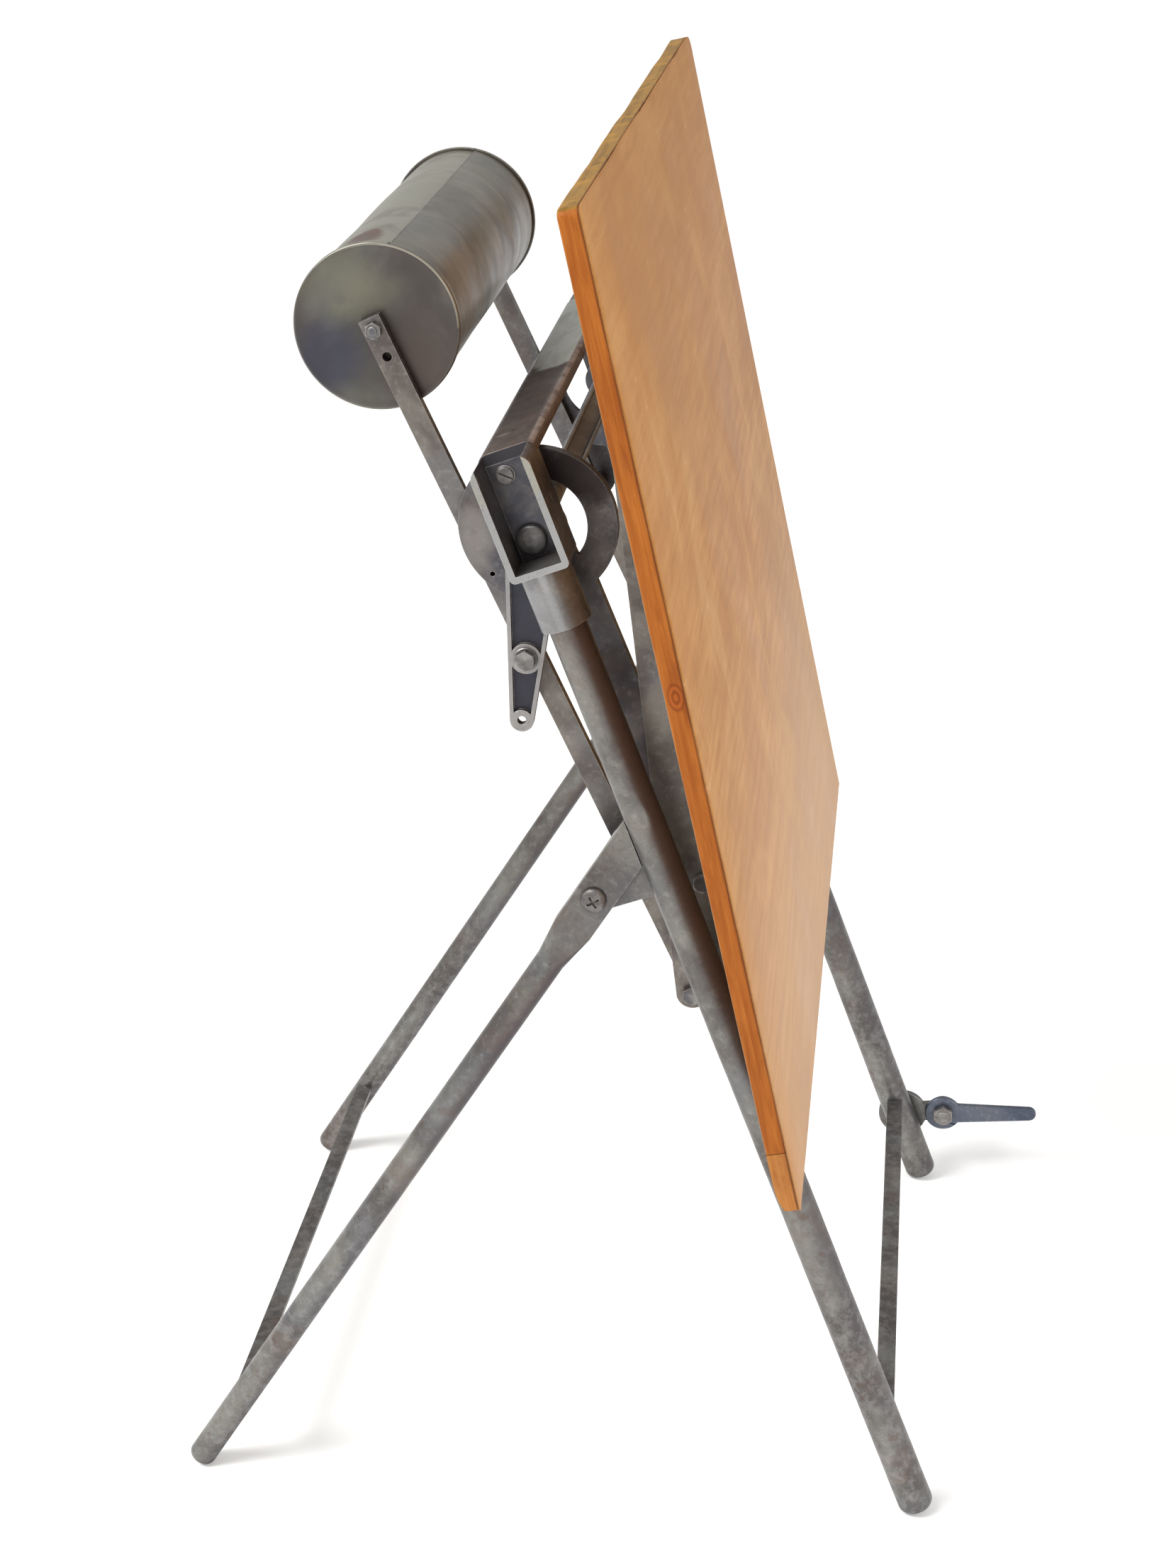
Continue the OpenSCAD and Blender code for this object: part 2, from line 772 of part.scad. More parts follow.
module pedal_bracket() {
  mount_z = 45;
  color("dimgray") difference() {
    side_plate(pad_x0, pad_t) {
      translate([mount_z / tan(front_lean), mount_z]) circle(17);
      link_outline([mount_z / tan(front_lean), mount_z], 7, pedal_pin, 7);
      translate(pedal_pin) circle(10);
    }
    front_leg_space(1);
    x_rod(pad_x0 - cut, pad_x0 + pad_t + cut, pedal_pin, m8_r);
  }
}

module pedal_bolt() {
  color("darkgray") {
    x_rod(pedal_x0 - 5.5, pad_x0 + pad_t, pedal_pin, m8_r);
    x_hex(pad_x0 + pad_t, pad_x0 + pad_t + 5, pedal_pin, m8_af);
  }
}

module pedal_nut() {
  nut_t = 4.5;
  color("darkgray") difference() {
    x_hex(pedal_x0 - gap - nut_t, pedal_x0 - gap, pedal_pin, m8_af);
    x_rod(pedal_x0 - gap - nut_t - cut, pedal_x0, pedal_pin, m8_r);
  }
}

module pedal_lever() {
  tip = pedal_pin + pedal_reach * [-cos(pedal_rise), sin(pedal_rise)];
  color("slategray") difference() {
    side_plate(pedal_x0, pedal_t) {
      translate(pedal_pin) circle(12.7);
      link_outline(pedal_pin, 7.6, tip, tip_r);
    }
    x_rod(pedal_x0 - cut, pedal_x0 + pedal_t + cut, pedal_pin, m8_r + running);
  }
}

// ---------- nodes ----------

front_leg(-1);  // left_front_leg
front_leg(1);  // right_front_leg
head_bracket(-1);  // left_head_bracket
head_bracket(1);  // right_head_bracket
crossbar();
crossbar_screws();
gusset(-1);  // left_gusset
gusset(1);  // right_gusset
front_stretcher();
leg_pivot_screws();
leg_pivot_nuts();
pedal_bracket();
pedal_bolt();
pedal_nut();
rear_leg(-1);  // left_rear_leg
rear_leg(1);  // right_rear_leg
rear_stretcher();
head_shaft();
tilt_lever(-1);  // left_tilt_lever
tilt_lever(1);  // right_tilt_lever
lever_pivot_bolts();
lever_pivot_nuts();
lift_arm(-1);  // left_lift_arm
lift_arm(1);  // right_lift_arm
arm_tie_bar();
weight_bar(-1);  // left_weight_bar
weight_bar(1);  // right_weight_bar
drum_shell();
drum_cap(-1);  // left_drum_cap
drum_cap(1);  // right_drum_cap
drum_rod();
drum_nuts();
drum_ballast();
face_panel();
board_core();
bottom_cleat();
board_bracket(-1);  // left_board_bracket
board_bracket(1);  // right_board_bracket
board_screws();
upper_link_bolts();
lower_link_bolts();
link_nuts();
pedal_lever();
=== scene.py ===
import json
import math

import bmesh
import bpy
from mathutils import Matrix, Vector, noise


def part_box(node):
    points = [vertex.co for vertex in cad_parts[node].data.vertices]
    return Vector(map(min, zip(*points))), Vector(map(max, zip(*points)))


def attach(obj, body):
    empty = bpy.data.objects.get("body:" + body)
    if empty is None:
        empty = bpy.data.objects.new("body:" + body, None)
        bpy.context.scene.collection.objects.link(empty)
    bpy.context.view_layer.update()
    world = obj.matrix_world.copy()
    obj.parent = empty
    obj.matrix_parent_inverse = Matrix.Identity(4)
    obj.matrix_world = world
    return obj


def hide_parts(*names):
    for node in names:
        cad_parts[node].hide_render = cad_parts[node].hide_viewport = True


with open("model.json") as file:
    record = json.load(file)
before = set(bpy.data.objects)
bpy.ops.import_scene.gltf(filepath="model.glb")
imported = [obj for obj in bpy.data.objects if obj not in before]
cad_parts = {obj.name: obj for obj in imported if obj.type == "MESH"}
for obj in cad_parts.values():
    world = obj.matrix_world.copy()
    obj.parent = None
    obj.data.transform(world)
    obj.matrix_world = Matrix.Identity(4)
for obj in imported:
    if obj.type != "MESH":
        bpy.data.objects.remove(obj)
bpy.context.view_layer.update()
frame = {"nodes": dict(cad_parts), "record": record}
MM = 0.001
SLOT_OF = {s["node"]: s["material_slot"] for s in frame["record"]["subparts"]}
BODY_OF = {n: body for body, nodes in frame["record"]["behaviour"]["bodies"].items() for n in nodes}


def put(name, data):
    """A new object in the scene."""
    made = bpy.data.objects.new(name, data)
    bpy.context.scene.collection.objects.link(made)
    return made


# ---------------------------------------------------------------- camera, at the photo's angle

CAMERA_AT = Vector((-1.5187, -0.1620, 1.0284))
CAMERA_TURN = 0.1329
CAMERA_DROP = 0.4007
CAMERA_ROLL = -0.0201
CAMERA_LENS = 61.99
CAMERA_SENSOR = 36
CAMERA_SHIFT = (0.0090, 0.0018)


def make_camera():
    """Turn, drop and roll are radians: from +X towards +Y, below level, and about the view."""
    ahead = Vector((math.cos(CAMERA_DROP) * math.cos(CAMERA_TURN),
                    math.cos(CAMERA_DROP) * math.sin(CAMERA_TURN), -math.sin(CAMERA_DROP)))
    right = ahead.cross(Vector((0, 0, 1))).normalized()
    up = right.cross(ahead)
    c, s = math.cos(CAMERA_ROLL), math.sin(CAMERA_ROLL)
    data = bpy.data.cameras.new("camera")
    data.lens = CAMERA_LENS
    data.sensor_width = CAMERA_SENSOR
    data.shift_x, data.shift_y = CAMERA_SHIFT
    camera = put("camera", data)
    turn = Matrix((c * right + s * up, c * up - s * right, -ahead)).transposed()
    camera.matrix_world = Matrix.Translation(CAMERA_AT) @ turn.to_4x4()
    bpy.context.scene.camera = camera


make_camera()

# ---------------------------------------------------------------- places, from the frame

ACROSS = Vector((1, 0, 0))
mounts = {m["name"]: m for m in frame["record"]["mounts"]}
hinges = {j["name"]: j for j in frame["record"]["behaviour"]["joints"]}
board_out = Vector(mounts["board_face"]["axis"])
board_up = Vector((0, board_out.z, -board_out.y))
BOARD_LEAN = math.atan2(board_up.y, board_up.z)


def spread(node, axis):
    """The lowest and highest reach of a CAD node along any direction."""
    reach = [v.co.dot(axis) for v in frame["nodes"][node].data.vertices]
    return min(reach), max(reach)


def long_axis(node):
    """The direction of a straight node's longest edge, pointing up."""
    mesh = frame["nodes"][node].data
    runs = [mesh.vertices[e.vertices[1]].co - mesh.vertices[e.vertices[0]].co for e in mesh.edges]
    along = max(runs, key=lambda run: run.length).normalized()
    return along if along.z > 0 else -along


def box_centre(node):
    lo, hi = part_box(node)
    return (Vector(lo) + Vector(hi)) / 2


LEG_UP = long_axis("left_front_leg")
LEG_FRONT = LEG_UP.cross(ACROSS)
LEG_FRONT *= 1 if LEG_FRONT.y < 0 else -1
# The board's reach up its slope, and the face's and the core's reach along its normal
FACE_UP = spread("face_panel", board_up)
FACE_OUT = spread("face_panel", board_out)
CORE_OUT = spread("board_core", board_out)
BOARD_HALF = spread("face_panel", ACROSS)[1]
BOARD_HIGH = FACE_UP[1] - FACE_UP[0]
DRUM_AT = box_centre("drum_shell")
DRUM_HALF, _, DRUM_RADIUS = Vector(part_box("drum_shell")[1]) - DRUM_AT
# The lap seam's angle round the drum, from behind over the top
SEAM_TURN = math.radians(101)
# How far out the tilt lever's recessed face lies
POCKET_FLOOR = -mounts["left_rod_eye"]["pos_m"][0]
# The head brackets' reach: how high the part painted as a socket goes, and the rims of their trays
SOCKET_HIGH = 0.024
SOCKET_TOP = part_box("left_head_bracket")[0][2] + SOCKET_HIGH
BRACKET_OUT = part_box("right_head_bracket")[1][0]


def board_point(x, a, out):
    """A point x across, a up from the board's lower edge and out along its normal."""
    return Vector((x, 0, 0)) + board_up * (FACE_UP[0] + a) + board_out * out


# ---------------------------------------------------------------- material tools


def linear(r, g, b):
    """A colour given as 0-255 screen values, as the shader wants it."""
    return tuple((v / 255 / 12.92) if v <= 10 else ((v / 255 + 0.055) / 1.055) ** 2.4 for v in (r, g, b))


def dim(colour, share):
    return tuple(v * share for v in colour)


class Graph:
    """Builds one material's node tree with short calls. Each call returns an output socket."""

    def __init__(self, name):
        self.material = bpy.data.materials.new(name)
        self.material.use_nodes = True
        self.tree = self.material.node_tree
        self.tree.nodes.clear()
        self.output = self.tree.nodes.new("ShaderNodeOutputMaterial")
        coords = self.tree.nodes.new("ShaderNodeTexCoord")
        self.place = coords.outputs["Object"]
        self.normal = coords.outputs["Normal"]

    def node(self, kind, inputs=None, **settings):
        made = self.tree.nodes.new(kind)
        for key, value in settings.items():
            setattr(made, key, value)
        for key, value in (inputs or {}).items():
            self.feed(made.inputs[key], value)
        return made

    def feed(self, socket, value):
        if isinstance(value, bpy.types.NodeSocket):
            self.tree.links.new(value, socket)
        elif socket.type == "RGBA":
            socket.default_value = (*value[:3], 1)
        else:
            socket.default_value = value

    def mapped(self, scale=(1, 1, 1), turn=(0, 0, 0), shift=(0, 0, 0), source=None):
        return self.node("ShaderNodeMapping", {"Vector": source or self.place, "Scale": scale,
                                               "Rotation": turn, "Location": shift}).outputs[0]

    def noise(self, where, scale, detail=4, rough=0.55, warp=0.0):
        return self.node("ShaderNodeTexNoise", {"Vector": where, "Scale": scale, "Detail": detail,
                                                "Roughness": rough, "Distortion": warp}).outputs[0]

    def step(self, value, low, high, to_low=0.0, to_high=1.0):
        """A smooth change from one value to another while the input goes from low to high."""
        return self.node("ShaderNodeMapRange", {"Value": value, "From Min": low, "From Max": high,
                                                "To Min": to_low, "To Max": to_high},
                         interpolation_type="SMOOTHSTEP").outputs[0]

    def math(self, kind, a, b=0.5):
        return self.node("ShaderNodeMath", {0: a, 1: b}, operation=kind).outputs[0]

    def times(self, first, *others):
        for other in others:
            first = self.math("MULTIPLY", first, other)
        return first

    def absolute(self, value):
        return self.math("ABSOLUTE", value)

    def vector(self, kind, a, b=(0, 0, 0), out=0):
        return self.node("ShaderNodeVectorMath", {0: a, 1: b}, operation=kind).outputs[out]

    def mix(self, share, a, b):
        """Two colours mixed. The node's colour sockets go by number, because their names repeat."""
        return self.node("ShaderNodeMix", {0: share, 6: a, 7: b}, data_type="RGBA").outputs[2]

    def tint(self, colour, screen, *shares):
        """Moves a colour towards a 0-255 screen colour, by the product of some shares."""
        return self.mix(self.times(*shares), colour, linear(*screen))

    def axis(self, vector, which):
        return self.node("ShaderNodeSeparateXYZ", {0: vector}).outputs[which]

    def spot(self, at, radii, soft=0.35, ragged=0.5, grain=180):
        """1 inside an ellipsoid about a point, with a ragged rim."""
        scaled = self.vector("MULTIPLY", self.vector("SUBTRACT", self.place, at), [1 / r for r in radii])
        reach = self.vector("LENGTH", scaled, out="Value")
        wobble = self.times(self.math("SUBTRACT", self.noise(self.place, grain, 5), 0.5), ragged * 2)
        return self.step(self.math("ADD", reach, wobble), 1.0, 1.0 - soft)

    def bump(self, height, strength, distance):
        return self.node("ShaderNodeBump", {"Height": height, "Strength": strength,
                                            "Distance": distance}).outputs[0]

    def edges(self, radius, low=0.01, high=0.12):
        """1 along edges, from how far a rounded normal leans from the true one."""
        rounded = self.node("ShaderNodeBevel", {"Radius": radius}, samples=4).outputs[0]
        true = self.node("ShaderNodeNewGeometry").outputs["Normal"]
        dot = self.vector("DOT_PRODUCT", rounded, true, "Value")
        return self.step(self.math("SUBTRACT", 1.0, dot), low, high)

    def openness(self, distance):
        """1 in the open, towards 0 in corners and crevices."""
        return self.node("ShaderNodeAmbientOcclusion", {"Distance": distance}, samples=6).outputs["AO"]

    def painted_crevice_shade(self, distance):
        """1 in corners and crevices, where painted shade goes."""
        return self.step(self.openness(distance), 0.75, 0.25)

    def finish(self, **inputs):
        named = {key.replace("_", " "): value for key, value in inputs.items()}
        shader = self.node("ShaderNodeBsdfPrincipled", named)
        self.tree.links.new(shader.outputs[0], self.output.inputs[0])
        return self.material


# ---------------------------------------------------------------- metals

# Out along X: the middle of the near lift arm's ring, and just inside both arms
NEAR_RING_OUT = 0.154
ARMS_IN = 0.150


def old_metal(name, base, light, dark, cool, rust, clouds=22, cool_share=0.5, rust_share=0.4, mottle=0.35,
              pits=0.25, metallic=0.7, rough=(0.36, 0.55), edge=0.6, edge_radius=0.8 * MM, painted_crevice_shade=0.5,
              painted_front_shade=0.0, extra=None, bump=0.35):
    """Bare iron or steel with brown and bluish clouds, rust, pits, painted shade in corners and rubbed
    edges.

    Clouds are counted per metre. Painted front shade is how far the side that faces the board is painted
    darker and red-brown, as painted shade, and extra adds marks of one part's own.
    """
    g = Graph(name)
    broad = g.noise(g.place, clouds, 5, 0.55, 0.4)
    patches = g.noise(g.mapped(shift=(3.1, 1.7, 0.4)), clouds * 0.55, 4, 0.55, 0.7)
    blotches = g.noise(g.mapped(shift=(0.3, 5.2, 2.2)), clouds * 1.5, 9, 0.66, 0.5)
    fine = g.noise(g.place, 240, 6, 0.62)
    speck = g.noise(g.mapped(shift=(7, 1, 3)), 700, 3, 0.6)
    colour = g.mix(g.step(broad, 0.36, 0.64), dark, base)
    colour = g.mix(g.times(g.step(patches, 0.48, 0.66), cool_share), colour, cool)
    colour = g.mix(g.times(g.step(blotches, 0.52, 0.7), rust_share), colour, rust)
    colour = g.mix(g.times(g.step(fine, 0.48, 0.75), mottle), colour, light)
    # Sides that face the board, high up, painted darker and red-brown: painted shade
    if painted_front_shade:
        forward = g.step(g.axis(g.normal, 1), 0.15, -0.75)
        above = g.step(g.axis(g.place, 2), 0.16, 0.4)
        patchy = g.step(blotches, 0.25, 0.5, 0.6, 1.0)
        colour = g.tint(colour, (92, 66, 60), forward, above, patchy, painted_front_shade)
    if extra:
        colour = extra(g, colour)
    colour = g.mix(g.times(g.step(speck, 0.58, 0.7), pits), colour, dim(dark, 0.6))
    # Darker in corners and crevices by ambient occlusion: painted shade
    colour = g.mix(g.times(g.painted_crevice_shade(9 * MM), painted_crevice_shade), colour, dim(dark, 0.35))
    rubbed = g.times(g.edges(edge_radius), g.step(fine, 0.3, 0.62, edge * 0.35, edge))
    colour = g.mix(rubbed, colour, light)
    shine = g.step(blotches, 0.3, 0.7, rough[0], rough[1])
    height = g.math("ADD", g.times(fine, 0.6), g.times(speck, 0.4))
    return g.finish(Base_Color=colour, Metallic=metallic, Roughness=shine,
                    Normal=g.bump(height, bump, 0.25 * MM))


def drum_stains(g, colour):
    """Clouds, runs and a rusty lap seam on the drum's shell, painted shade on its front and a painted sheen
    towards its far end, then its caps with painted shade on their faces and a painted highlight on their
    rims.
    """
    green = g.noise(g.mapped(shift=(1.3, 0.2, 6.1)), 13, 3, 0.5, 0.3)
    colour = g.tint(colour, (98, 102, 88), g.step(green, 0.47, 0.62, 0.0, 0.6))
    blue = g.noise(g.mapped(shift=(4.4, 2.2, 0.1)), 17, 3, 0.5, 0.3)
    colour = g.tint(colour, (72, 74, 86), g.step(blue, 0.5, 0.62, 0.0, 0.6))
    away = g.vector("SUBTRACT", g.place, DRUM_AT)
    across = g.axis(away, 0)
    # 0 behind the drum, a quarter turn on top
    angle = g.math("ARCTAN2", g.axis(away, 2), g.axis(away, 1))
    shell = g.step(g.absolute(g.axis(g.normal, 0)), 0.8, 0.4)
    wander = g.times(g.math("SUBTRACT", g.noise(g.place, 26, 4), 0.5), 0.9)
    pale = g.times(g.step(g.math("ADD", angle, wander), SEAM_TURN - 1.25, SEAM_TURN - 0.55),
                   g.step(angle, SEAM_TURN + 0.005, SEAM_TURN - 0.01))
    colour = g.tint(colour, (178, 176, 160), pale, shell, 0.75)
    beyond = g.times(g.step(angle, SEAM_TURN - 0.01, SEAM_TURN),
                     g.step(angle, SEAM_TURN + 1.3, SEAM_TURN + 0.15))
    colour = g.tint(colour, (152, 149, 137), beyond, shell, 0.5)
    line = g.step(g.absolute(g.math("SUBTRACT", angle, SEAM_TURN)), 0.022, 0.008)
    broken = g.step(g.noise(g.place, 55, 4), 0.3, 0.5, 0.45, 0.95)
    colour = g.tint(colour, (58, 48, 44), line, shell, broken)
    by_near_cap = DRUM_AT + Vector((-DRUM_HALF + 0.024, 0.0095, DRUM_RADIUS * 0.97))
    rust = g.spot(by_near_cap, (0.03, 0.013, 0.02), 0.5, 0.55, 60)
    colour = g.tint(colour, (112, 78, 66), rust, shell, 0.9)
    # Darker streaks only on the sides that face front: painted shade, broken into streaks
    runs = g.noise(g.mapped(scale=(110, 9, 9)), 1.0, 6, 0.62, 0.5)
    front = g.step(g.axis(g.normal, 1), -0.1, -0.8)
    colour = g.tint(colour, (80, 76, 76), g.step(runs, 0.48, 0.68), front, 0.18)
    # Pale streaks towards the far end of the shell: painted sheen
    painted_sheen = g.noise(g.mapped(scale=(70, 12, 12), shift=(4, 1, 6)), 1.0, 5, 0.6, 0.4)
    far_side = g.step(across, -0.05, 0.06)
    colour = g.tint(colour, (176, 172, 160), g.step(painted_sheen, 0.46, 0.66), shell, far_side, 0.45)
    smoke = g.noise(g.mapped(scale=(26, 22, 22), shift=(7, 3, 1)), 1.0, 5, 0.6, 0.7)
    colour = g.tint(colour, (84, 80, 76), shell, g.step(smoke, 0.52, 0.68, 0.0, 0.4))
    # The caps' faces darker in noisy patches: painted shade, with mottling
    disc = g.step(g.absolute(g.axis(g.normal, 0)), 0.85, 0.97)
    dusk = g.noise(g.mapped(shift=(8, 3, 1)), 15, 4, 0.55, 0.6)
    colour = g.tint(colour, (78, 73, 70), disc, g.step(dusk, 0.36, 0.58, 0.3, 0.95))
    reach = g.vector("LENGTH", g.vector("MULTIPLY", away, (0, 1, 1)), out="Value")
    # A light line along the caps' rims, towards the top front: painted highlight
    rim_highlight_at = math.radians(125)
    turned = g.step(g.absolute(g.math("SUBTRACT", angle, rim_highlight_at)), 1.3, 0.4)
    rim = g.step(g.absolute(g.math("SUBTRACT", reach, DRUM_RADIUS - 0.5 * MM)), 0.75 * MM, 0.3 * MM)
    rim = g.times(rim, turned, g.step(dusk, 0.25, 0.5, 0.25, 0.75))
    rim = g.times(rim, g.step(g.absolute(across), DRUM_HALF - 1 * MM, DRUM_HALF))
    colour = g.tint(colour, (188, 182, 166), rim)
    near_cap = DRUM_AT - DRUM_HALF * ACROSS
    glow = g.spot(near_cap + Vector((0, 0.012, 0.022)), (0.02, 0.040, 0.026), 0.9, 0.45, 34)
    colour = g.tint(colour, (134, 132, 114), glow, disc, 0.6)
    bluish = g.spot(near_cap + Vector((0, 0.026, -0.016)), (0.02, 0.028, 0.03), 0.8, 0.3, 40)
    colour = g.tint(colour, (62, 64, 80), bluish, disc, 0.7)
    brown = g.spot(near_cap + Vector((0, -0.022, -0.020)), (0.02, 0.030, 0.036), 0.9, 0.4, 34)
    return g.tint(colour, (92, 76, 68), brown, disc, 0.5)


def crossbar_wear(g, colour):
    """A rubbed grey patch on top past the middle, a pale front edge that is partly rubbed and partly a
    painted highlight, a scarred weld and dark ends.
    """
    centre = box_centre("crossbar")
    hi = Vector(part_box("crossbar")[1])
    worn = g.spot((0.100, centre.y, hi.z), (0.118, 0.030, 0.04), 0.10, 0.22, 40)
    up = g.vector("DOT_PRODUCT", g.normal, LEG_UP, "Value")
    worn = g.times(worn, g.step(up, 0.86, 0.96))
    streaks = g.noise(g.mapped(scale=(34, 90, 90), shift=(1, 5, 2)), 1.0, 4, 0.5, 0.6)
    colour = g.tint(colour, (198, 202, 193), worn, g.step(streaks, 0.3, 0.6, 0.7, 1.0))
    # A pale line where the normal leans from the top towards the front: rubbed edge and painted highlight
    lean = math.radians(38)
    ridge = LEG_UP * math.cos(lean) + LEG_FRONT * math.sin(lean)
    along = g.vector("DOT_PRODUCT", g.normal, ridge, "Value")
    ragged = g.step(g.noise(g.place, 130, 5), 0.36, 0.56, 0.2, 0.8)
    colour = g.tint(colour, (178, 160, 150), g.step(along, 0.935, 0.985), ragged)
    near_end = Vector((-0.1465, centre.y + 7.5 * MM, hi.z))
    scar = g.spot(near_end, (0.0011, 0.0050, 0.03), 0.4, 0.15, 300)
    colour = g.tint(colour, (186, 172, 166), scar, 0.85)
    burn = g.spot(near_end + Vector((3 * MM, -5.5 * MM, 0)), (0.0024, 0.0024, 0.03), 0.5, 0.2, 300)
    colour = g.tint(colour, (48, 38, 37), burn, 0.85)
    ends = g.step(g.absolute(g.axis(g.normal, 0)), 0.7, 0.9)
    return g.tint(colour, (66, 66, 72), ends, 0.9)


def tray_wear(g, colour):
    """The tray's rim rubbed grey with a painted highlight, painted shade in its recesses, its inner faces
    dark, and its socket's back-facing sides painted lighter as painted light.
    """
    away = g.absolute(g.axis(g.place, 0))
    fine = g.noise(g.place, 300, 5, 0.6)
    # Darker in the tray's recesses by ambient occlusion: painted shade
    colour = g.tint(colour, (78, 66, 62), g.step(g.openness(18 * MM), 0.75, 0.3, 0.0, 0.55))
    deep = g.step(away, BRACKET_OUT - 12 * MM, BRACKET_OUT - 14 * MM)
    facing = g.step(g.absolute(g.axis(g.normal, 0)), 0.55, 0.85)
    cloud = g.noise(g.mapped(shift=(6, 2, 9)), 60, 6, 0.6, 0.6)
    web = g.tint(linear(64, 64, 74), (104, 100, 100), g.step(cloud, 0.35, 0.62))
    colour = g.mix(g.times(deep, facing, 0.8), colour, web)
    level = g.step(away, BRACKET_OUT - 0.9 * MM, BRACKET_OUT - 0.4 * MM)
    # The rim lighter: partly rubbed wear, partly a painted highlight
    rim = g.times(level, facing, g.step(fine, 0.25, 0.5, 0.6, 0.9))
    colour = g.tint(colour, (160, 160, 160), rim)
    corner = g.noise(g.mapped(shift=(3, 3, 8)), 60, 3, 0.5)
    high = g.step(g.axis(g.place, 2), SOCKET_TOP + 38 * MM, SOCKET_TOP + 44 * MM)
    colour = g.tint(colour, (172, 164, 124), level, high, g.step(corner, 0.48, 0.6), 0.3)
    # Lighter on the socket's sides that face back, below its top: painted light
    low = g.step(g.axis(g.place, 2), SOCKET_TOP + 4 * MM, SOCKET_TOP)
    lit = g.step(g.axis(g.normal, 1), -0.45, 0.2)
    colour = g.tint(colour, (138, 138, 139), low, lit, 0.6)
    outside = g.step(g.axis(g.normal, 1), -0.6, -0.85)
    scars = g.noise(g.mapped(scale=(120, 120, 46), shift=(2, 2, 2)), 1.0, 3, 0.5)
    return g.tint(colour, (196, 190, 182), outside, g.step(scars, 0.67, 0.7), 0.6)


def pipe_marks(g, colour):
    """Painted shade on the front and underside, brown clouds, pale scuffed lower legs with rust spots."""
    # Darker in patches on the sides that face front: painted shade
    shade = g.noise(g.mapped(shift=(5, 5, 1)), 45, 4, 0.6, 0.5)
    front = g.times(g.step(g.axis(g.normal, 1), 0.25, -0.7), g.step(shade, 0.3, 0.6, 0.3, 0.55))
    colour = g.tint(colour, (84, 80, 86), front)
    # Darker on the undersides: painted shade
    painted_underside_shade = g.step(g.axis(g.normal, 2), 0.0, -0.65)
    colour = g.tint(colour, (62, 59, 62), painted_underside_shade, 0.75)
    brown = g.noise(g.mapped(shift=(1, 8, 3)), 19, 5, 0.6, 0.9)
    colour = g.tint(colour, (108, 88, 80), g.step(brown, 0.52, 0.64, 0.0, 0.35))
    low = g.step(g.axis(g.place, 2), 0.26, 0.10)
    scuff = g.noise(g.mapped(shift=(2, 9, 4)), 150, 8, 0.7)
    colour = g.tint(colour, (164, 163, 162), low, g.step(scuff, 0.44, 0.62), 0.28)
    spots = g.noise(g.mapped(shift=(9, 2, 8)), 75, 3, 0.5)
    lower = g.step(g.axis(g.place, 2), 0.42, 0.18)
    return g.tint(colour, (100, 76, 68), g.step(spots, 0.66, 0.7), lower, 0.45)


def ring_shade(g, colour):
    """The near ring dark in front and pale behind, brown clouds, the lever's dark pocket and rubbed rim."""
    near_ring = Vector(hinges["lift"]["pos_m"]) - NEAR_RING_OUT * ACROSS
    dark = g.noise(g.mapped(shift=(2, 4, 7)), 32, 4, 0.55, 0.4)
    near = g.spot(near_ring + Vector((0, -0.022, 0.028)), (0.02, 0.032, 0.024), 0.6, 0.4, 60)
    colour = g.tint(colour, (50, 42, 42), near, 0.95)
    behind = g.spot(near_ring + Vector((0, 0.034, -0.006)), (0.02, 0.014, 0.030), 0.7, 0.4, 60)
    colour = g.tint(colour, (146, 140, 134), behind, 0.6)
    colour = g.tint(colour, (70, 62, 62), g.step(dark, 0.5, 0.66, 0.0, 0.5))
    away = g.absolute(g.axis(g.place, 0))
    pocket = g.step(g.absolute(g.math("SUBTRACT", away, POCKET_FLOOR)), 0.9 * MM, 0.5 * MM)
    facing = g.step(g.absolute(g.axis(g.normal, 0)), 0.6, 0.85)
    colour = g.tint(colour, (54, 54, 64), pocket, facing, 0.92)
    rubbed = g.step(away, POCKET_FLOOR + 1.9 * MM, POCKET_FLOOR + 2.3 * MM)
    colour = g.tint(colour, (186, 184, 182), rubbed, 0.5)
    between_arms = g.step(away, ARMS_IN + 0.5 * MM, ARMS_IN - 0.5 * MM)
    return g.tint(colour, (58, 48, 47), between_arms, 0.8)


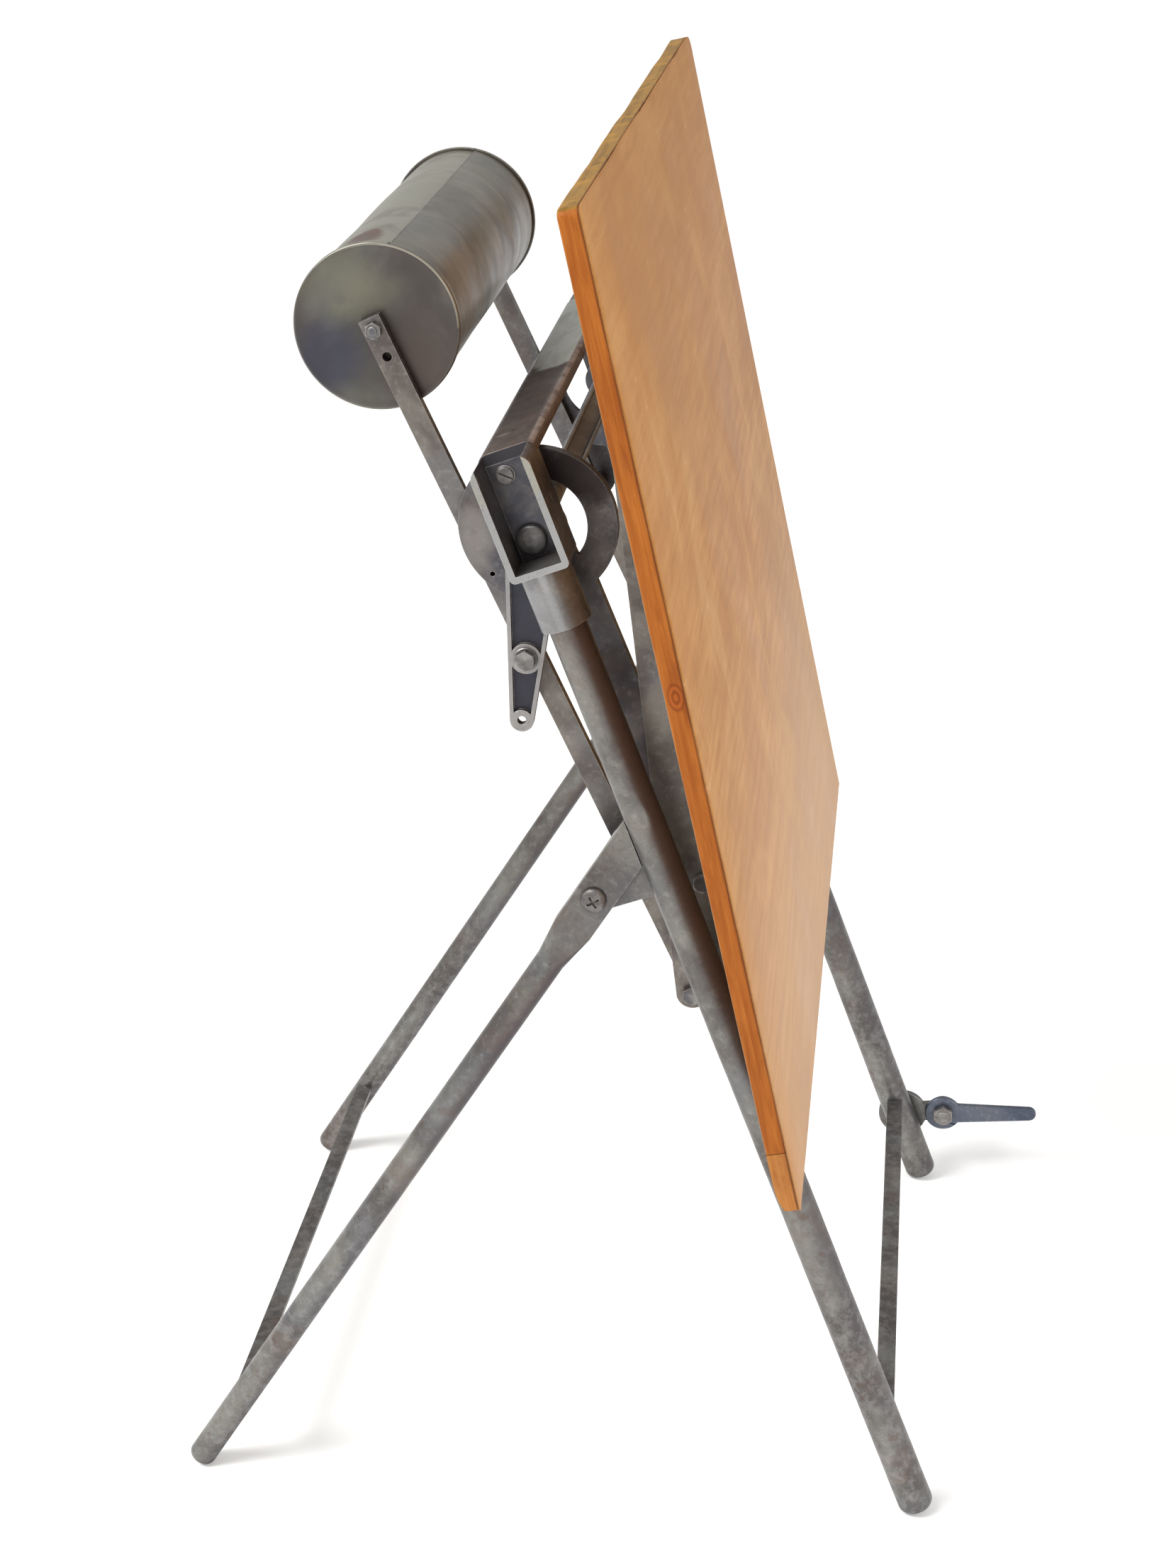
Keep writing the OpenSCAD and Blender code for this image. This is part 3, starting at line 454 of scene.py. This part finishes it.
METALS = {
    "pipe_steel": old_metal(
        "pipe_steel", linear(126, 124, 118), linear(180, 179, 175), linear(90, 86, 83),
        linear(106, 110, 118), linear(98, 80, 74), clouds=24, cool_share=0.35, rust_share=0.45, mottle=0.22,
        pits=0.35, painted_front_shade=0.85, extra=pipe_marks, rough=(0.32, 0.46)),
    "tray_iron": old_metal(
        "tray_iron", linear(132, 129, 126), linear(206, 204, 196), linear(88, 84, 88),
        linear(100, 104, 114), linear(106, 82, 74), edge_radius=0.7 * MM, painted_front_shade=0.20, painted_crevice_shade=0.6,
        mottle=0.2, extra=tray_wear, rough=(0.32, 0.46)),
    "crossbar_iron": old_metal(
        "crossbar_iron", linear(118, 104, 97), linear(176, 170, 160), linear(88, 74, 69),
        linear(108, 104, 102), linear(102, 74, 66), rust_share=0.5, mottle=0.2, painted_front_shade=0.5,
        extra=crossbar_wear),
    "linkage_iron": old_metal(
        "linkage_iron", linear(116, 109, 106), linear(176, 173, 170), linear(78, 73, 75),
        linear(92, 96, 106), linear(104, 80, 72), edge=0.8, mottle=0.2, extra=ring_shade),
    "bar_steel": old_metal(
        "bar_steel", linear(130, 124, 117), linear(184, 179, 172), linear(92, 85, 81),
        linear(100, 102, 108), linear(100, 82, 74), rust_share=0.4, mottle=0.22, rough=(0.32, 0.45)),
    # Wide, strong rubbed edges: wear, and also a painted highlight on the caps' rims
    "drum_steel": old_metal(
        "drum_steel", linear(148, 141, 131), linear(190, 186, 174), linear(104, 97, 91),
        linear(104, 104, 104), linear(114, 98, 86), clouds=14, rust_share=0.15, mottle=0.08, pits=0.1,
        painted_crevice_shade=0.25, extra=drum_stains, rough=(0.30, 0.42), edge=0.9, edge_radius=1.4 * MM, bump=0.12),
    "fastener_steel": old_metal(
        "fastener_steel", linear(142, 139, 136), linear(204, 202, 198), linear(92, 88, 88),
        linear(108, 112, 118), linear(106, 84, 76), clouds=60, edge=0.9, edge_radius=0.5 * MM, painted_crevice_shade=0.7,
        mottle=0.2),
    "pedal_steel": old_metal(
        "pedal_steel", linear(104, 107, 116), linear(180, 182, 186), linear(66, 70, 80),
        linear(82, 94, 114), linear(88, 74, 68), rust_share=0.2, edge=0.95, mottle=0.2),
}
METALS["ballast_iron"] = METALS["linkage_iron"]

# ---------------------------------------------------------------- wood


class Wood(Graph):
    """Wood in the board's own directions: x across, z up the board, y through its thickness."""

    def __init__(self, name):
        super().__init__(name)
        self.place = self.mapped(turn=(BOARD_LEAN, 0, 0))
        self.normal = self.node("ShaderNodeVectorRotate", {"Vector": self.normal, "Angle": BOARD_LEAN},
                                rotation_type="X_AXIS").outputs[0]

    def grain(self, along, coarse, fine, warp=0.6):
        """Broad streaks and fine pores that run along one axis; coarse and fine are marks per metre."""
        def stretched(count, ratio, shift):
            scale = [count] * 3
            scale[along] = count / ratio
            return self.mapped(scale=scale, shift=shift)
        broad = self.noise(stretched(coarse, 14, (0, 0, 0)), 1.0, 7, 0.6, warp)
        pores = self.noise(stretched(fine, 26, (3, 1, 2)), 1.0, 3, 0.55)
        return broad, pores

    def shaded(self, broad, pores, pale, deep, pore_share=0.35):
        colour = self.mix(self.step(broad, 0.3, 0.7), pale, deep)
        return self.mix(self.times(self.step(pores, 0.55, 0.75), pore_share), colour, dim(deep, 0.62))


def face_wood():
    """The face: pale, grain nearly level, warmer at the top and the near side, cloudy and scratched."""
    grain_slope = math.radians(3)
    scratch_slope = math.radians(8)
    g = Wood("board_wood")
    g.place = g.mapped(turn=(0, grain_slope, 0), source=g.place)
    broad, pores = g.grain(0, 150, 900)
    colour = g.shaded(broad, pores, linear(192, 139, 83), linear(166, 112, 57), 0.42)
    clouds = g.noise(g.mapped(scale=(9, 9, 14)), 1.0, 5, 0.6, 0.5)
    colour = g.tint(colour, (158, 103, 49), g.step(clouds, 0.34, 0.68, 0.0, 0.65))
    haze = g.noise(g.mapped(scale=(12, 12, 9), shift=(5, 1, 2)), 1.0, 6, 0.62, 0.6)
    colour = g.tint(colour, (212, 173, 126), g.step(haze, 0.42, 0.76, 0.0, 0.5))
    height = g.axis(g.place, 2)
    high = FACE_UP[1]
    low = high - 0.30
    colour = g.tint(colour, (174, 120, 64), g.step(height, low, high, 0.0, 0.5))
    colour = g.tint(colour, (200, 164, 130), g.step(height, low + 0.06, low - 0.22, 0.0, 0.55))
    near = g.step(g.axis(g.place, 0), -BOARD_HALF + 0.075, -BOARD_HALF)
    colour = g.tint(colour, (196, 136, 76), near, g.step(clouds, 0.3, 0.6, 0.15, 0.6))
    lines = g.noise(g.mapped(scale=(24, 60, 620), turn=(0, scratch_slope, 0)), 1.0, 2, 0.5)
    colour = g.tint(colour, (222, 196, 166), g.step(lines, 0.68, 0.73), g.step(haze, 0.45, 0.6), 0.35)
    outward = g.absolute(g.axis(g.normal, 1))
    depth = g.axis(g.place, 1)
    # The board's edge faces darker, from just behind the face backwards
    dark_edge_band = g.step(depth, -FACE_OUT[1] + 0.5 * MM, -FACE_OUT[1] + 0.9 * MM, 0.1, 0.7)
    dark_edge_band = g.times(dark_edge_band, g.step(clouds, 0.3, 0.6, 0.7, 1.0))
    colour = g.tint(colour, (110, 62, 30), g.step(outward, 0.85, 0.45), dark_edge_band)
    height = g.math("ADD", g.times(pores, 0.6), g.times(broad, 0.4))
    return g.finish(Base_Color=colour, Roughness=g.step(haze, 0.3, 0.7, 0.46, 0.58),
                    Normal=g.bump(height, 0.25, 0.25 * MM), Specular_IOR_Level=0.12)


# The knot in the core's edges: up the board, in from the back, its half width and height
KNOT_UP = 0.295
KNOT_BACK = 0.0059
KNOT_HALF = (0.0042, 0.0075)
KNOT_RINGS = 12.0
CORE_BACK_Y = -CORE_OUT[0]


def core_wood(name, pale, deep, knot=True):
    """Core or cleat: side edges stained orange with upright grain, the top edge olive, the back plain."""
    g = Wood(name)
    broad, pores = g.grain(2, 260, 1100)
    level_broad, level_pores = g.grain(0, 200, 900)
    side = g.shaded(broad, pores, pale, deep, 0.5)
    dirt = g.noise(g.mapped(scale=(80, 80, 22), shift=(1, 7, 3)), 1.0, 6, 0.62, 0.4)
    side = g.tint(side, (122, 60, 26), g.step(dirt, 0.5, 0.72, 0.0, 0.55))
    if knot:
        offset = g.vector("SUBTRACT", g.place, (0, CORE_BACK_Y - KNOT_BACK, FACE_UP[0] + KNOT_UP))
        scaled = g.vector("MULTIPLY", offset, (0, 1 / KNOT_HALF[0], 1 / KNOT_HALF[1]))
        reach = g.vector("LENGTH", scaled, out="Value")
        rings = g.math("SINE", g.times(reach, KNOT_RINGS))
        inside = g.times(g.step(reach, 1.25, 0.8), g.step(g.axis(g.place, 0), 0.0, -0.2))
        shade = g.tint(linear(122, 56, 22), (166, 84, 34), g.step(rings, -0.9, 0.9))
        side = g.mix(g.times(inside, 0.7), side, shade)
    top = g.shaded(level_broad, level_pores, linear(154, 116, 54), linear(120, 88, 38), 0.5)
    top = g.tint(top, (178, 134, 68), g.step(dirt, 0.42, 0.66, 0.0, 0.6))
    back = g.shaded(level_broad, level_pores, linear(166, 130, 90), linear(138, 104, 68), 0.35)
    across = g.absolute(g.axis(g.normal, 0))
    upward = g.absolute(g.axis(g.normal, 2))
    colour = g.mix(g.step(upward, 0.35, 0.75), back, top)
    colour = g.mix(g.step(across, 0.45, 0.75), colour, side)
    front = g.step(g.axis(g.place, 1), CORE_BACK_Y - 9.2 * MM, CORE_BACK_Y - 10.4 * MM)
    colour = g.tint(colour, (92, 46, 22), front, g.step(dirt, 0.3, 0.6, 0.25, 0.75))
    colour = g.tint(colour, (112, 62, 32), g.edges(0.8 * MM), 0.35)
    height = g.math("ADD", g.times(pores, 0.5), g.times(broad, 0.5))
    return g.finish(Base_Color=colour, Roughness=g.step(dirt, 0.3, 0.7, 0.38, 0.55),
                    Normal=g.bump(height, 0.3, 0.3 * MM), Specular_IOR_Level=0.1)


WOODS = {
    "board_wood": face_wood(),
    "core_wood": core_wood("core_wood", linear(176, 104, 42), linear(148, 79, 28)),
    "cleat_wood": core_wood("cleat_wood", linear(188, 130, 72), linear(166, 102, 48), knot=False),
}
MATERIALS = {**METALS, **WOODS}

# ---------------------------------------------------------------- mesh tools


def as_mesh(bm, name):
    data = bpy.data.meshes.new(name)
    bm.to_mesh(data)
    bm.free()
    return data


def stands_for(node, data, sharp):
    """A new piece in place of a CAD node, on its body and in its slot, smooth up to an angle in degrees."""
    for face in data.polygons:
        face.use_smooth = True
    data.set_sharp_from_angle(angle=math.radians(sharp))
    piece = put(f"{node}_look", data)
    piece.data.materials.append(MATERIALS[SLOT_OF[node]])
    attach(piece, BODY_OF[node])
    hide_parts(node)
    return piece


def round_edges(piece, width, least_angle):
    bevel = piece.modifiers.new("round", "BEVEL")
    bevel.width = width
    bevel.segments = 2
    bevel.limit_method = "ANGLE"
    bevel.angle_limit = math.radians(least_angle)


def cad_copy(node):
    """The CAD node's shape as clean bmesh faces."""
    bm = bmesh.new()
    bm.from_mesh(frame["nodes"][node].data)
    bmesh.ops.remove_doubles(bm, verts=bm.verts, dist=2e-6)
    bmesh.ops.dissolve_limit(bm, angle_limit=math.radians(0.4), verts=bm.verts, edges=bm.edges)
    return bm


def rings_to_mesh(bm, rings, capped=True):
    """Joins rings of points with quads; caps are single faces."""
    made = [[bm.verts.new(p) for p in ring] for ring in rings]
    count = len(made[0])
    for low, high in zip(made, made[1:]):
        for i in range(count):
            j = (i + 1) % count
            bm.faces.new((low[i], low[j], high[j], high[i]))
    if capped:
        bm.faces.new(reversed(made[0]))
        bm.faces.new(made[-1])


def wobble(point, scale, seed):
    """Smooth noise from -1 to 1 at a place."""
    return noise.noise(point * scale + Vector((seed, seed * 1.7, -seed)))


def slice_across(bm, direction, step):
    """Cuts a shape into slices so that noise can move it."""
    reach = [v.co.dot(direction) for v in bm.verts]
    low, high = min(reach), max(reach)
    cuts = int((high - low) / step)
    for i in range(1, cuts):
        at = low + (high - low) * i / cuts
        geometry = bm.verts[:] + bm.edges[:] + bm.faces[:]
        bmesh.ops.bisect_plane(bm, geom=geometry, plane_co=direction * at, plane_no=direction, dist=1e-5)


def sink(v, amount, scale, seed):
    """Moves a point inwards along its normal, by smooth noise between nothing and an amount."""
    v.co -= v.normal * amount * (0.5 + 0.5 * wobble(v.co, scale, seed))


# ---------------------------------------------------------------- rounded CAD shapes

# The width of the rounding on each node's edges, in millimetres
ROUNDINGS = {
    "left_head_bracket": 0.5, "right_head_bracket": 0.5, "crossbar": 1.6, "left_gusset": 0.6,
    "right_gusset": 0.6, "front_stretcher": 0.6, "rear_stretcher": 0.6, "left_tilt_lever": 0.9,
    "right_tilt_lever": 0.9, "left_lift_arm": 0.8, "right_lift_arm": 0.8, "arm_tie_bar": 0.6,
    "left_weight_bar": 0.6, "right_weight_bar": 0.6, "left_board_bracket": 0.5, "right_board_bracket": 0.5,
    "pedal_bracket": 0.7, "pedal_lever": 0.8, "crossbar_screws": 0.25, "leg_pivot_screws": 0.3,
    "head_shaft": 0.3, "board_screws": 0.3, "left_rear_leg": 0.9, "right_rear_leg": 0.9,
    "drum_ballast": 0.8,
}


def round_cad_shapes():
    for node, width in ROUNDINGS.items():
        piece = stands_for(node, as_mesh(cad_copy(node), node + "_shape"), sharp=30)
        round_edges(piece, width * MM, 28)
        piece.modifiers.new("flats", "WEIGHTED_NORMAL").keep_sharp = True


round_cad_shapes()

# ---------------------------------------------------------------- front legs

PIPE_RADIUS = 0.01065
DIMPLE_ALONG = 0.477
DIMPLE_TURN = math.radians(167)
DIMPLE_HALF = (0.011, 0.0062)
DIMPLE_DEPTH = 0.0011


def leg_mesh(node, dimple):
    """A pipe with slightly uneven walls, and an oval dimple struck into it if asked."""
    bm = cad_copy(node)
    along = long_axis(node)
    longest = max(bm.edges, key=lambda e: e.calc_length())
    slice_across(bm, along, 4 * MM)
    front = along.cross(ACROSS)
    rims = [v.co for v in bm.verts if v.co.dot(along) > max(w.co.dot(along) for w in longest.verts) - 1e-4]
    top = sum(rims, Vector()) / len(rims)
    foot = top - along * (top.z / along.z)
    facing = ACROSS * math.cos(DIMPLE_TURN) + front * math.sin(DIMPLE_TURN)
    middle = foot + along * DIMPLE_ALONG + facing * PIPE_RADIUS
    bm.normal_update()
    for v in bm.verts:
        sink(v, 0.22 * MM, 55, 3.0)
        sink(v, 0.12 * MM, 190, 8.0)
        away = v.co - middle
        if dimple and away.dot(facing) > -6 * MM:
            reach = math.hypot(away.dot(along) / DIMPLE_HALF[0],
                               away.dot(along.cross(facing)) / DIMPLE_HALF[1])
            v.co -= facing * DIMPLE_DEPTH * min(1, max(0, 1 - reach) * 3)
    return as_mesh(bm, node + "_shape")


for node in ("left_front_leg", "right_front_leg"):
    stands_for(node, leg_mesh(node, node.startswith("left")), sharp=40)

# ---------------------------------------------------------------- drum

DRUM_SIDES = 144
DRUM_STEPS = 60
SHEET = 0.9 * MM
DENT = 0.5 * MM
DENT_ROOM = 0.7 * MM
# The angle that the step at the lap takes up, in radians
LAP_EDGE = 0.004


def ring_about_x(x, radius, centre, sides=DRUM_SIDES):
    turns = [i * math.tau / sides for i in range(sides)]
    return [Vector((x, centre.y + radius * math.cos(a), centre.z + radius * math.sin(a))) for a in turns]


def shell_point(x, angle, lift):
    """A point on the rolled sheet, lifted off the circle of the sheet's inner end."""
    y, z = math.cos(angle), math.sin(angle)
    dent = DENT * wobble(Vector((x * 14, y * 1.3, z * 1.3)), 1.0, 2.0)
    radius = DRUM_RADIUS - DENT_ROOM - SHEET + lift + dent
    return Vector((x, DRUM_AT.y + radius * y, DRUM_AT.z + radius * z))


def drum_shell_mesh():
    """Rolled sheet with shallow dents; along the top its outer end lies a thickness above its inner."""
    bm = bmesh.new()
    rings = []
    for k in range(DRUM_STEPS + 1):
        x = DRUM_AT.x - DRUM_HALF + 2 * DRUM_HALF * k / DRUM_STEPS
        ring = [shell_point(x, SEAM_TURN + math.tau * i / DRUM_SIDES, SHEET * (1 - i / DRUM_SIDES))
                for i in range(DRUM_SIDES)]
        rings.append(ring + [shell_point(x, SEAM_TURN - LAP_EDGE, 0)])
    rings_to_mesh(bm, rings)
    return as_mesh(bm, "drum_shell_shape")


# How far in from a cap's face and from its rim each ring of the face lies, in millimetres
CAP_FACE = ((0.3, 3.0), (0.4, 6.0), (0.5, 12), (0.4, 22), (0.3, 34))
CAP_BEND = 1.2 * MM
CAP_UNEVEN = 0.3 * MM


def drum_cap_mesh(node):
    """A pressed cap: a skirt, a rounded rim and a gently sunk, slightly uneven face."""
    lo, hi = (Vector(v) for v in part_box(node))
    outward = -1 if lo.x < 0 else 1
    face = lo.x if outward < 0 else hi.x
    radius = (hi.z - lo.z) / 2
    skirt = hi.x - lo.x
    profile = [(skirt, CAP_BEND), (skirt, 0.1 * MM), (skirt - 0.2 * MM, 0)]
    profile += [(CAP_BEND * (1 - math.sin(a)), CAP_BEND * (1 - math.cos(a)))
                for a in (math.radians(d) for d in range(0, 91, 15))]
    profile += [(back * MM, down * MM) for back, down in CAP_FACE]
    bm = bmesh.new()
    rings = [ring_about_x(face - outward * back, radius - down, DRUM_AT) for back, down in profile]
    for point in (p for ring in rings for p in ring):
        point.x -= outward * CAP_UNEVEN * (0.5 + 0.5 * wobble(point, 30, 4.0))
    rings_to_mesh(bm, rings)
    return as_mesh(bm, node + "_shape")


stands_for("drum_shell", drum_shell_mesh(), sharp=20)
for node in ("left_drum_cap", "right_drum_cap"):
    stands_for(node, drum_cap_mesh(node), sharp=60)

# ---------------------------------------------------------------- threaded fasteners

HEX_SIDES = 72
ROD_SIDES = 32
SIXTH = math.radians(60)
THREAD_DEPTH = 0.28 * MM
# A shank thinner and longer than this has a thread
THREAD_RADIUS = 4.5 * MM
THREAD_LENGTH = 3 * MM


def hex_radius(angle, apothem):
    return apothem / math.cos((angle % SIXTH) - SIXTH / 2)


def hex_prism(bm, x0, x1, centre, apothem, turn, bore):
    """A hexagon with both ends chamfered to a circle, and a hole if it is a nut."""
    flat = apothem * 0.97
    inner = bore or apothem * 0.3
    middle = (x0 + x1) / 2

    def ring(x_of, radius_of):
        made = []
        for i in range(HEX_SIDES):
            angle = i * math.tau / HEX_SIDES
            radius = hex_radius(angle, apothem)
            made.append(Vector((x_of(radius), centre.y + radius_of(radius) * math.cos(angle + turn),
                                centre.z + radius_of(radius) * math.sin(angle + turn))))
        return made

    def drop(radius):
        return max(0.0, radius - flat) * math.tan(SIXTH / 2)

    rings = [ring(lambda r: x0, lambda r: inner), ring(lambda r: x0, lambda r: flat),
             ring(lambda r: x0 + drop(r), lambda r: r), ring(lambda r: middle, lambda r: r),
             ring(lambda r: x1 - drop(r), lambda r: r), ring(lambda r: x1, lambda r: flat),
             ring(lambda r: x1, lambda r: inner)]
    if bore:
        rings.append(rings[0])
    rings_to_mesh(bm, rings, capped=not bore)


def rod(bm, x0, x1, centre, radius):
    """A round shank or head with chamfered ends, threaded if it is thin and long enough."""
    edge = min(0.4 * MM, radius * 0.2)
    profile = [(x0, radius - edge), (x0 + edge, radius)]
    if radius < THREAD_RADIUS and x1 - x0 > THREAD_LENGTH:
        pitch = radius / 3
        count = int((x1 - x0 - 2 * edge) / pitch)
        for i in range(count):
            at = x0 + edge + pitch * i
            profile += [(at + pitch * 0.35, radius), (at + pitch * 0.65, radius - THREAD_DEPTH)]
    profile += [(x1 - edge, radius), (x1, radius - edge)]
    rings_to_mesh(bm, [ring_about_x(x, r, centre, ROD_SIDES) for x, r in profile])


def loose_parts(bm):
    """The sets of points that are joined by edges, in the order of their first points."""
    seen = set()
    for first in bm.verts:
        if first in seen:
            continue
        stack = [first]
        part = {first}
        while stack:
            for edge in stack.pop().link_edges:
                for v in edge.verts:
                    if v not in part:
                        part.add(v)
                        stack.append(v)
        seen |= part
        yield part


def fastener_mesh(node):
    """Reads each solid of a fastener node as hexagons, washers and shanks along x and builds them finer."""
    source = cad_copy(node)
    bm = bmesh.new()
    for part in loose_parts(source):
        centre = Vector((0, (min(v.co.y for v in part) + max(v.co.y for v in part)) / 2,
                         (min(v.co.z for v in part) + max(v.co.z for v in part)) / 2))
        sections = {}
        for face in source.faces:
            if face.verts[0] not in part or abs(face.normal.x) > 0.1:
                continue
            xs = [v.co.x for v in face.verts]
            away = face.calc_center_median() - centre
            away.x = 0
            inner = away.dot(face.normal) < 0
            key = (round(min(xs), 5), round(max(xs), 5), inner)
            reach = max(math.hypot(v.co.y - centre.y, v.co.z - centre.z) for v in face.verts)
            flat = abs((face.verts[0].co - centre).dot(face.normal))
            turn = math.atan2(face.normal.z, face.normal.y)
            sections.setdefault(key, []).append((reach, flat, turn))
        bores = [max(s[0] for s in found) for key, found in sections.items() if key[2]]
        for (x0, x1, inner), found in sorted(sections.items()):
            if inner:
                continue
            if len(found) == 6:
                _, flat, turn = found[0]
                hex_prism(bm, x0, x1, centre, flat, turn + SIXTH / 2, bores[0] if bores else 0)
            else:
                rod(bm, x0, x1, centre, max(s[0] for s in found))
    source.free()
    return as_mesh(bm, node + "_shape")


for node in ("lever_pivot_bolts", "lever_pivot_nuts", "drum_nuts", "drum_rod", "upper_link_bolts",
             "lower_link_bolts", "link_nuts", "pedal_bolt", "pedal_nut", "leg_pivot_nuts"):
    stands_for(node, fastener_mesh(node), sharp=25)

# ---------------------------------------------------------------- board

# Corner radii at the top: far side, near side
TOP_CORNERS = (0.010, 0.0055)
OUTLINE_STEP = 5 * MM
CHEWED_DEPTH = 2.6 * MM


def board_outline(low, high):
    """Points round the board, from its lower near corner, closely spaced."""
    path = [Vector((-BOARD_HALF, low)), Vector((BOARD_HALF, low))]
    for side, corner, start in ((1, TOP_CORNERS[0], 0), (-1, TOP_CORNERS[1], 90)):
        centre = Vector((side * (BOARD_HALF - corner), high - corner))
        path += [centre + corner * Vector((math.cos(a), math.sin(a)))
                 for a in (math.radians(start + d) for d in range(0, 91, 10))]
    points = []
    for a, b in zip(path, path[1:] + path[:1]):
        count = max(1, round((b - a).length / OUTLINE_STEP))
        points += [a.lerp(b, i / count) for i in range(count)]
    return points


def inset_outline(points, amounts):
    """Moves each point of an outline inwards by its own amount."""
    made = []
    for i, p in enumerate(points):
        along = (points[(i + 1) % len(points)] - points[i - 1]).normalized()
        made.append(p + Vector((-along.y, along.x)) * amounts[i])
    return made


def slab_mesh(name, points, out0, out1, front_wear, back_wear, seed):
    """A slab of wood, its front and back edges worn round by uneven amounts, the top back edge most."""
    def wear(base, scale):
        return [base * (1 + 0.5 * wobble(Vector((p.x, p.y, 0)), scale, seed)) for p in points]

    def chew(p):
        at_top = p.y > BOARD_HIGH - 1 * MM
        return CHEWED_DEPTH * max(0, wobble(Vector((p.x, 0, 0)), 11, 5.0)) if at_top else 0

    def worn_rings(amounts, depths, edge, inwards):
        for depth in depths:
            lean = 1 - math.sqrt(1 - (1 - depth) ** 2)
            outline = inset_outline(points, [c * lean for c in amounts])
            yield [board_point(p.x, p.y, edge + inwards * c * depth) for p, c in zip(outline, amounts)]

    crisp = wear(front_wear, 60)
    chewed = [c + chew(p) for c, p in zip(wear(back_wear, 26), points)]
    bm = bmesh.new()
    rings_to_mesh(bm, [*worn_rings(crisp, (0.0, 0.3, 0.7, 1.0), out1, -1),
                       *worn_rings(chewed, (1.0, 0.75, 0.45, 0.2, 0.0), out0, 1)])
    bmesh.ops.recalc_face_normals(bm, faces=bm.faces)
    return as_mesh(bm, name)


def build_board():
    """The face, the core behind it and the cleat below the core, each clear of the next by a hair."""
    above_cleat = spread("bottom_cleat", board_up)[1] - FACE_UP[0] + 0.3 * MM
    face = slab_mesh("face_shape", board_outline(0, BOARD_HIGH), FACE_OUT[0] + 0.1 * MM, FACE_OUT[1],
                     front_wear=0.5 * MM, back_wear=0.2 * MM, seed=1.0)
    stands_for("face_panel", face, sharp=40)
    core = slab_mesh("core_shape", board_outline(above_cleat, BOARD_HIGH), *CORE_OUT,
                     front_wear=0.2 * MM, back_wear=1.2 * MM, seed=9.0)
    stands_for("board_core", core, sharp=40)
    bm = cad_copy("bottom_cleat")
    slice_across(bm, ACROSS, 6 * MM)
    bm.normal_update()
    for v in bm.verts:
        sink(v, 0.35 * MM, 90, 6.0)
    cleat = stands_for("bottom_cleat", as_mesh(bm, "cleat_shape"), sharp=30)
    round_edges(cleat, 0.6 * MM, 35)


build_board()

# ---------------------------------------------------------------- stage

FLOOR_HALF = 20.0
FLOOR_GLOW = 0.22
WORLD_LIGHT = 0.50


def make_stage():
    """A wide white floor that glows a little, to read as white paper, and even light from all round."""
    floor = bpy.data.meshes.new("floor")
    corners = [(-FLOOR_HALF, -FLOOR_HALF, 0), (FLOOR_HALF, -FLOOR_HALF, 0),
               (FLOOR_HALF, FLOOR_HALF, 0), (-FLOOR_HALF, FLOOR_HALF, 0)]
    floor.from_pydata(corners, [], [(0, 1, 2, 3)])
    floor.materials.append(Graph("floor_paint").finish(
        Base_Color=(0.93, 0.93, 0.925), Roughness=0.85, Emission_Color=(1, 1, 1),
        Emission_Strength=FLOOR_GLOW))
    put("floor", floor)
    world = bpy.data.worlds.new("studio")
    bpy.context.scene.world = world
    world.use_nodes = True
    background = world.node_tree.nodes["Background"]
    background.inputs["Color"].default_value = (1, 1, 1, 1)
    background.inputs["Strength"].default_value = WORLD_LIGHT


def area_light(name, at, aim, power, side, colour):
    """A square lamp, its side in metres and its power in watts."""
    data = bpy.data.lights.new(name, "AREA")
    data.size = side
    data.energy = power
    data.color = colour
    lamp = put(name, data)
    lamp.location = at
    lamp.rotation_mode = "QUATERNION"
    lamp.rotation_quaternion = (Vector(aim) - Vector(at)).to_track_quat("-Z", "Y")


def sun_light(from_direction, strength, softness):
    """A broad light from one side; softness is the angle it covers, in degrees."""
    data = bpy.data.lights.new("sky", "SUN")
    data.energy = strength
    data.angle = math.radians(softness)
    lamp = put("sky", data)
    lamp.rotation_mode = "QUATERNION"
    lamp.rotation_quaternion = Vector(from_direction).to_track_quat("Z", "Y")


make_stage()
area_light("window", (-0.9, 1.9, 2.2), (0, 0, 0.45), power=46, side=1.2, colour=(1.0, 0.99, 0.97))
area_light("front", (-1.1, -2.4, 1.6), (0, 0, 0.4), power=30, side=1.6, colour=(1.0, 0.98, 0.95))
sun_light((-0.45, 0.55, 1.0), strength=1.35, softness=25)
bpy.context.scene.view_settings.view_transform = "Standard"
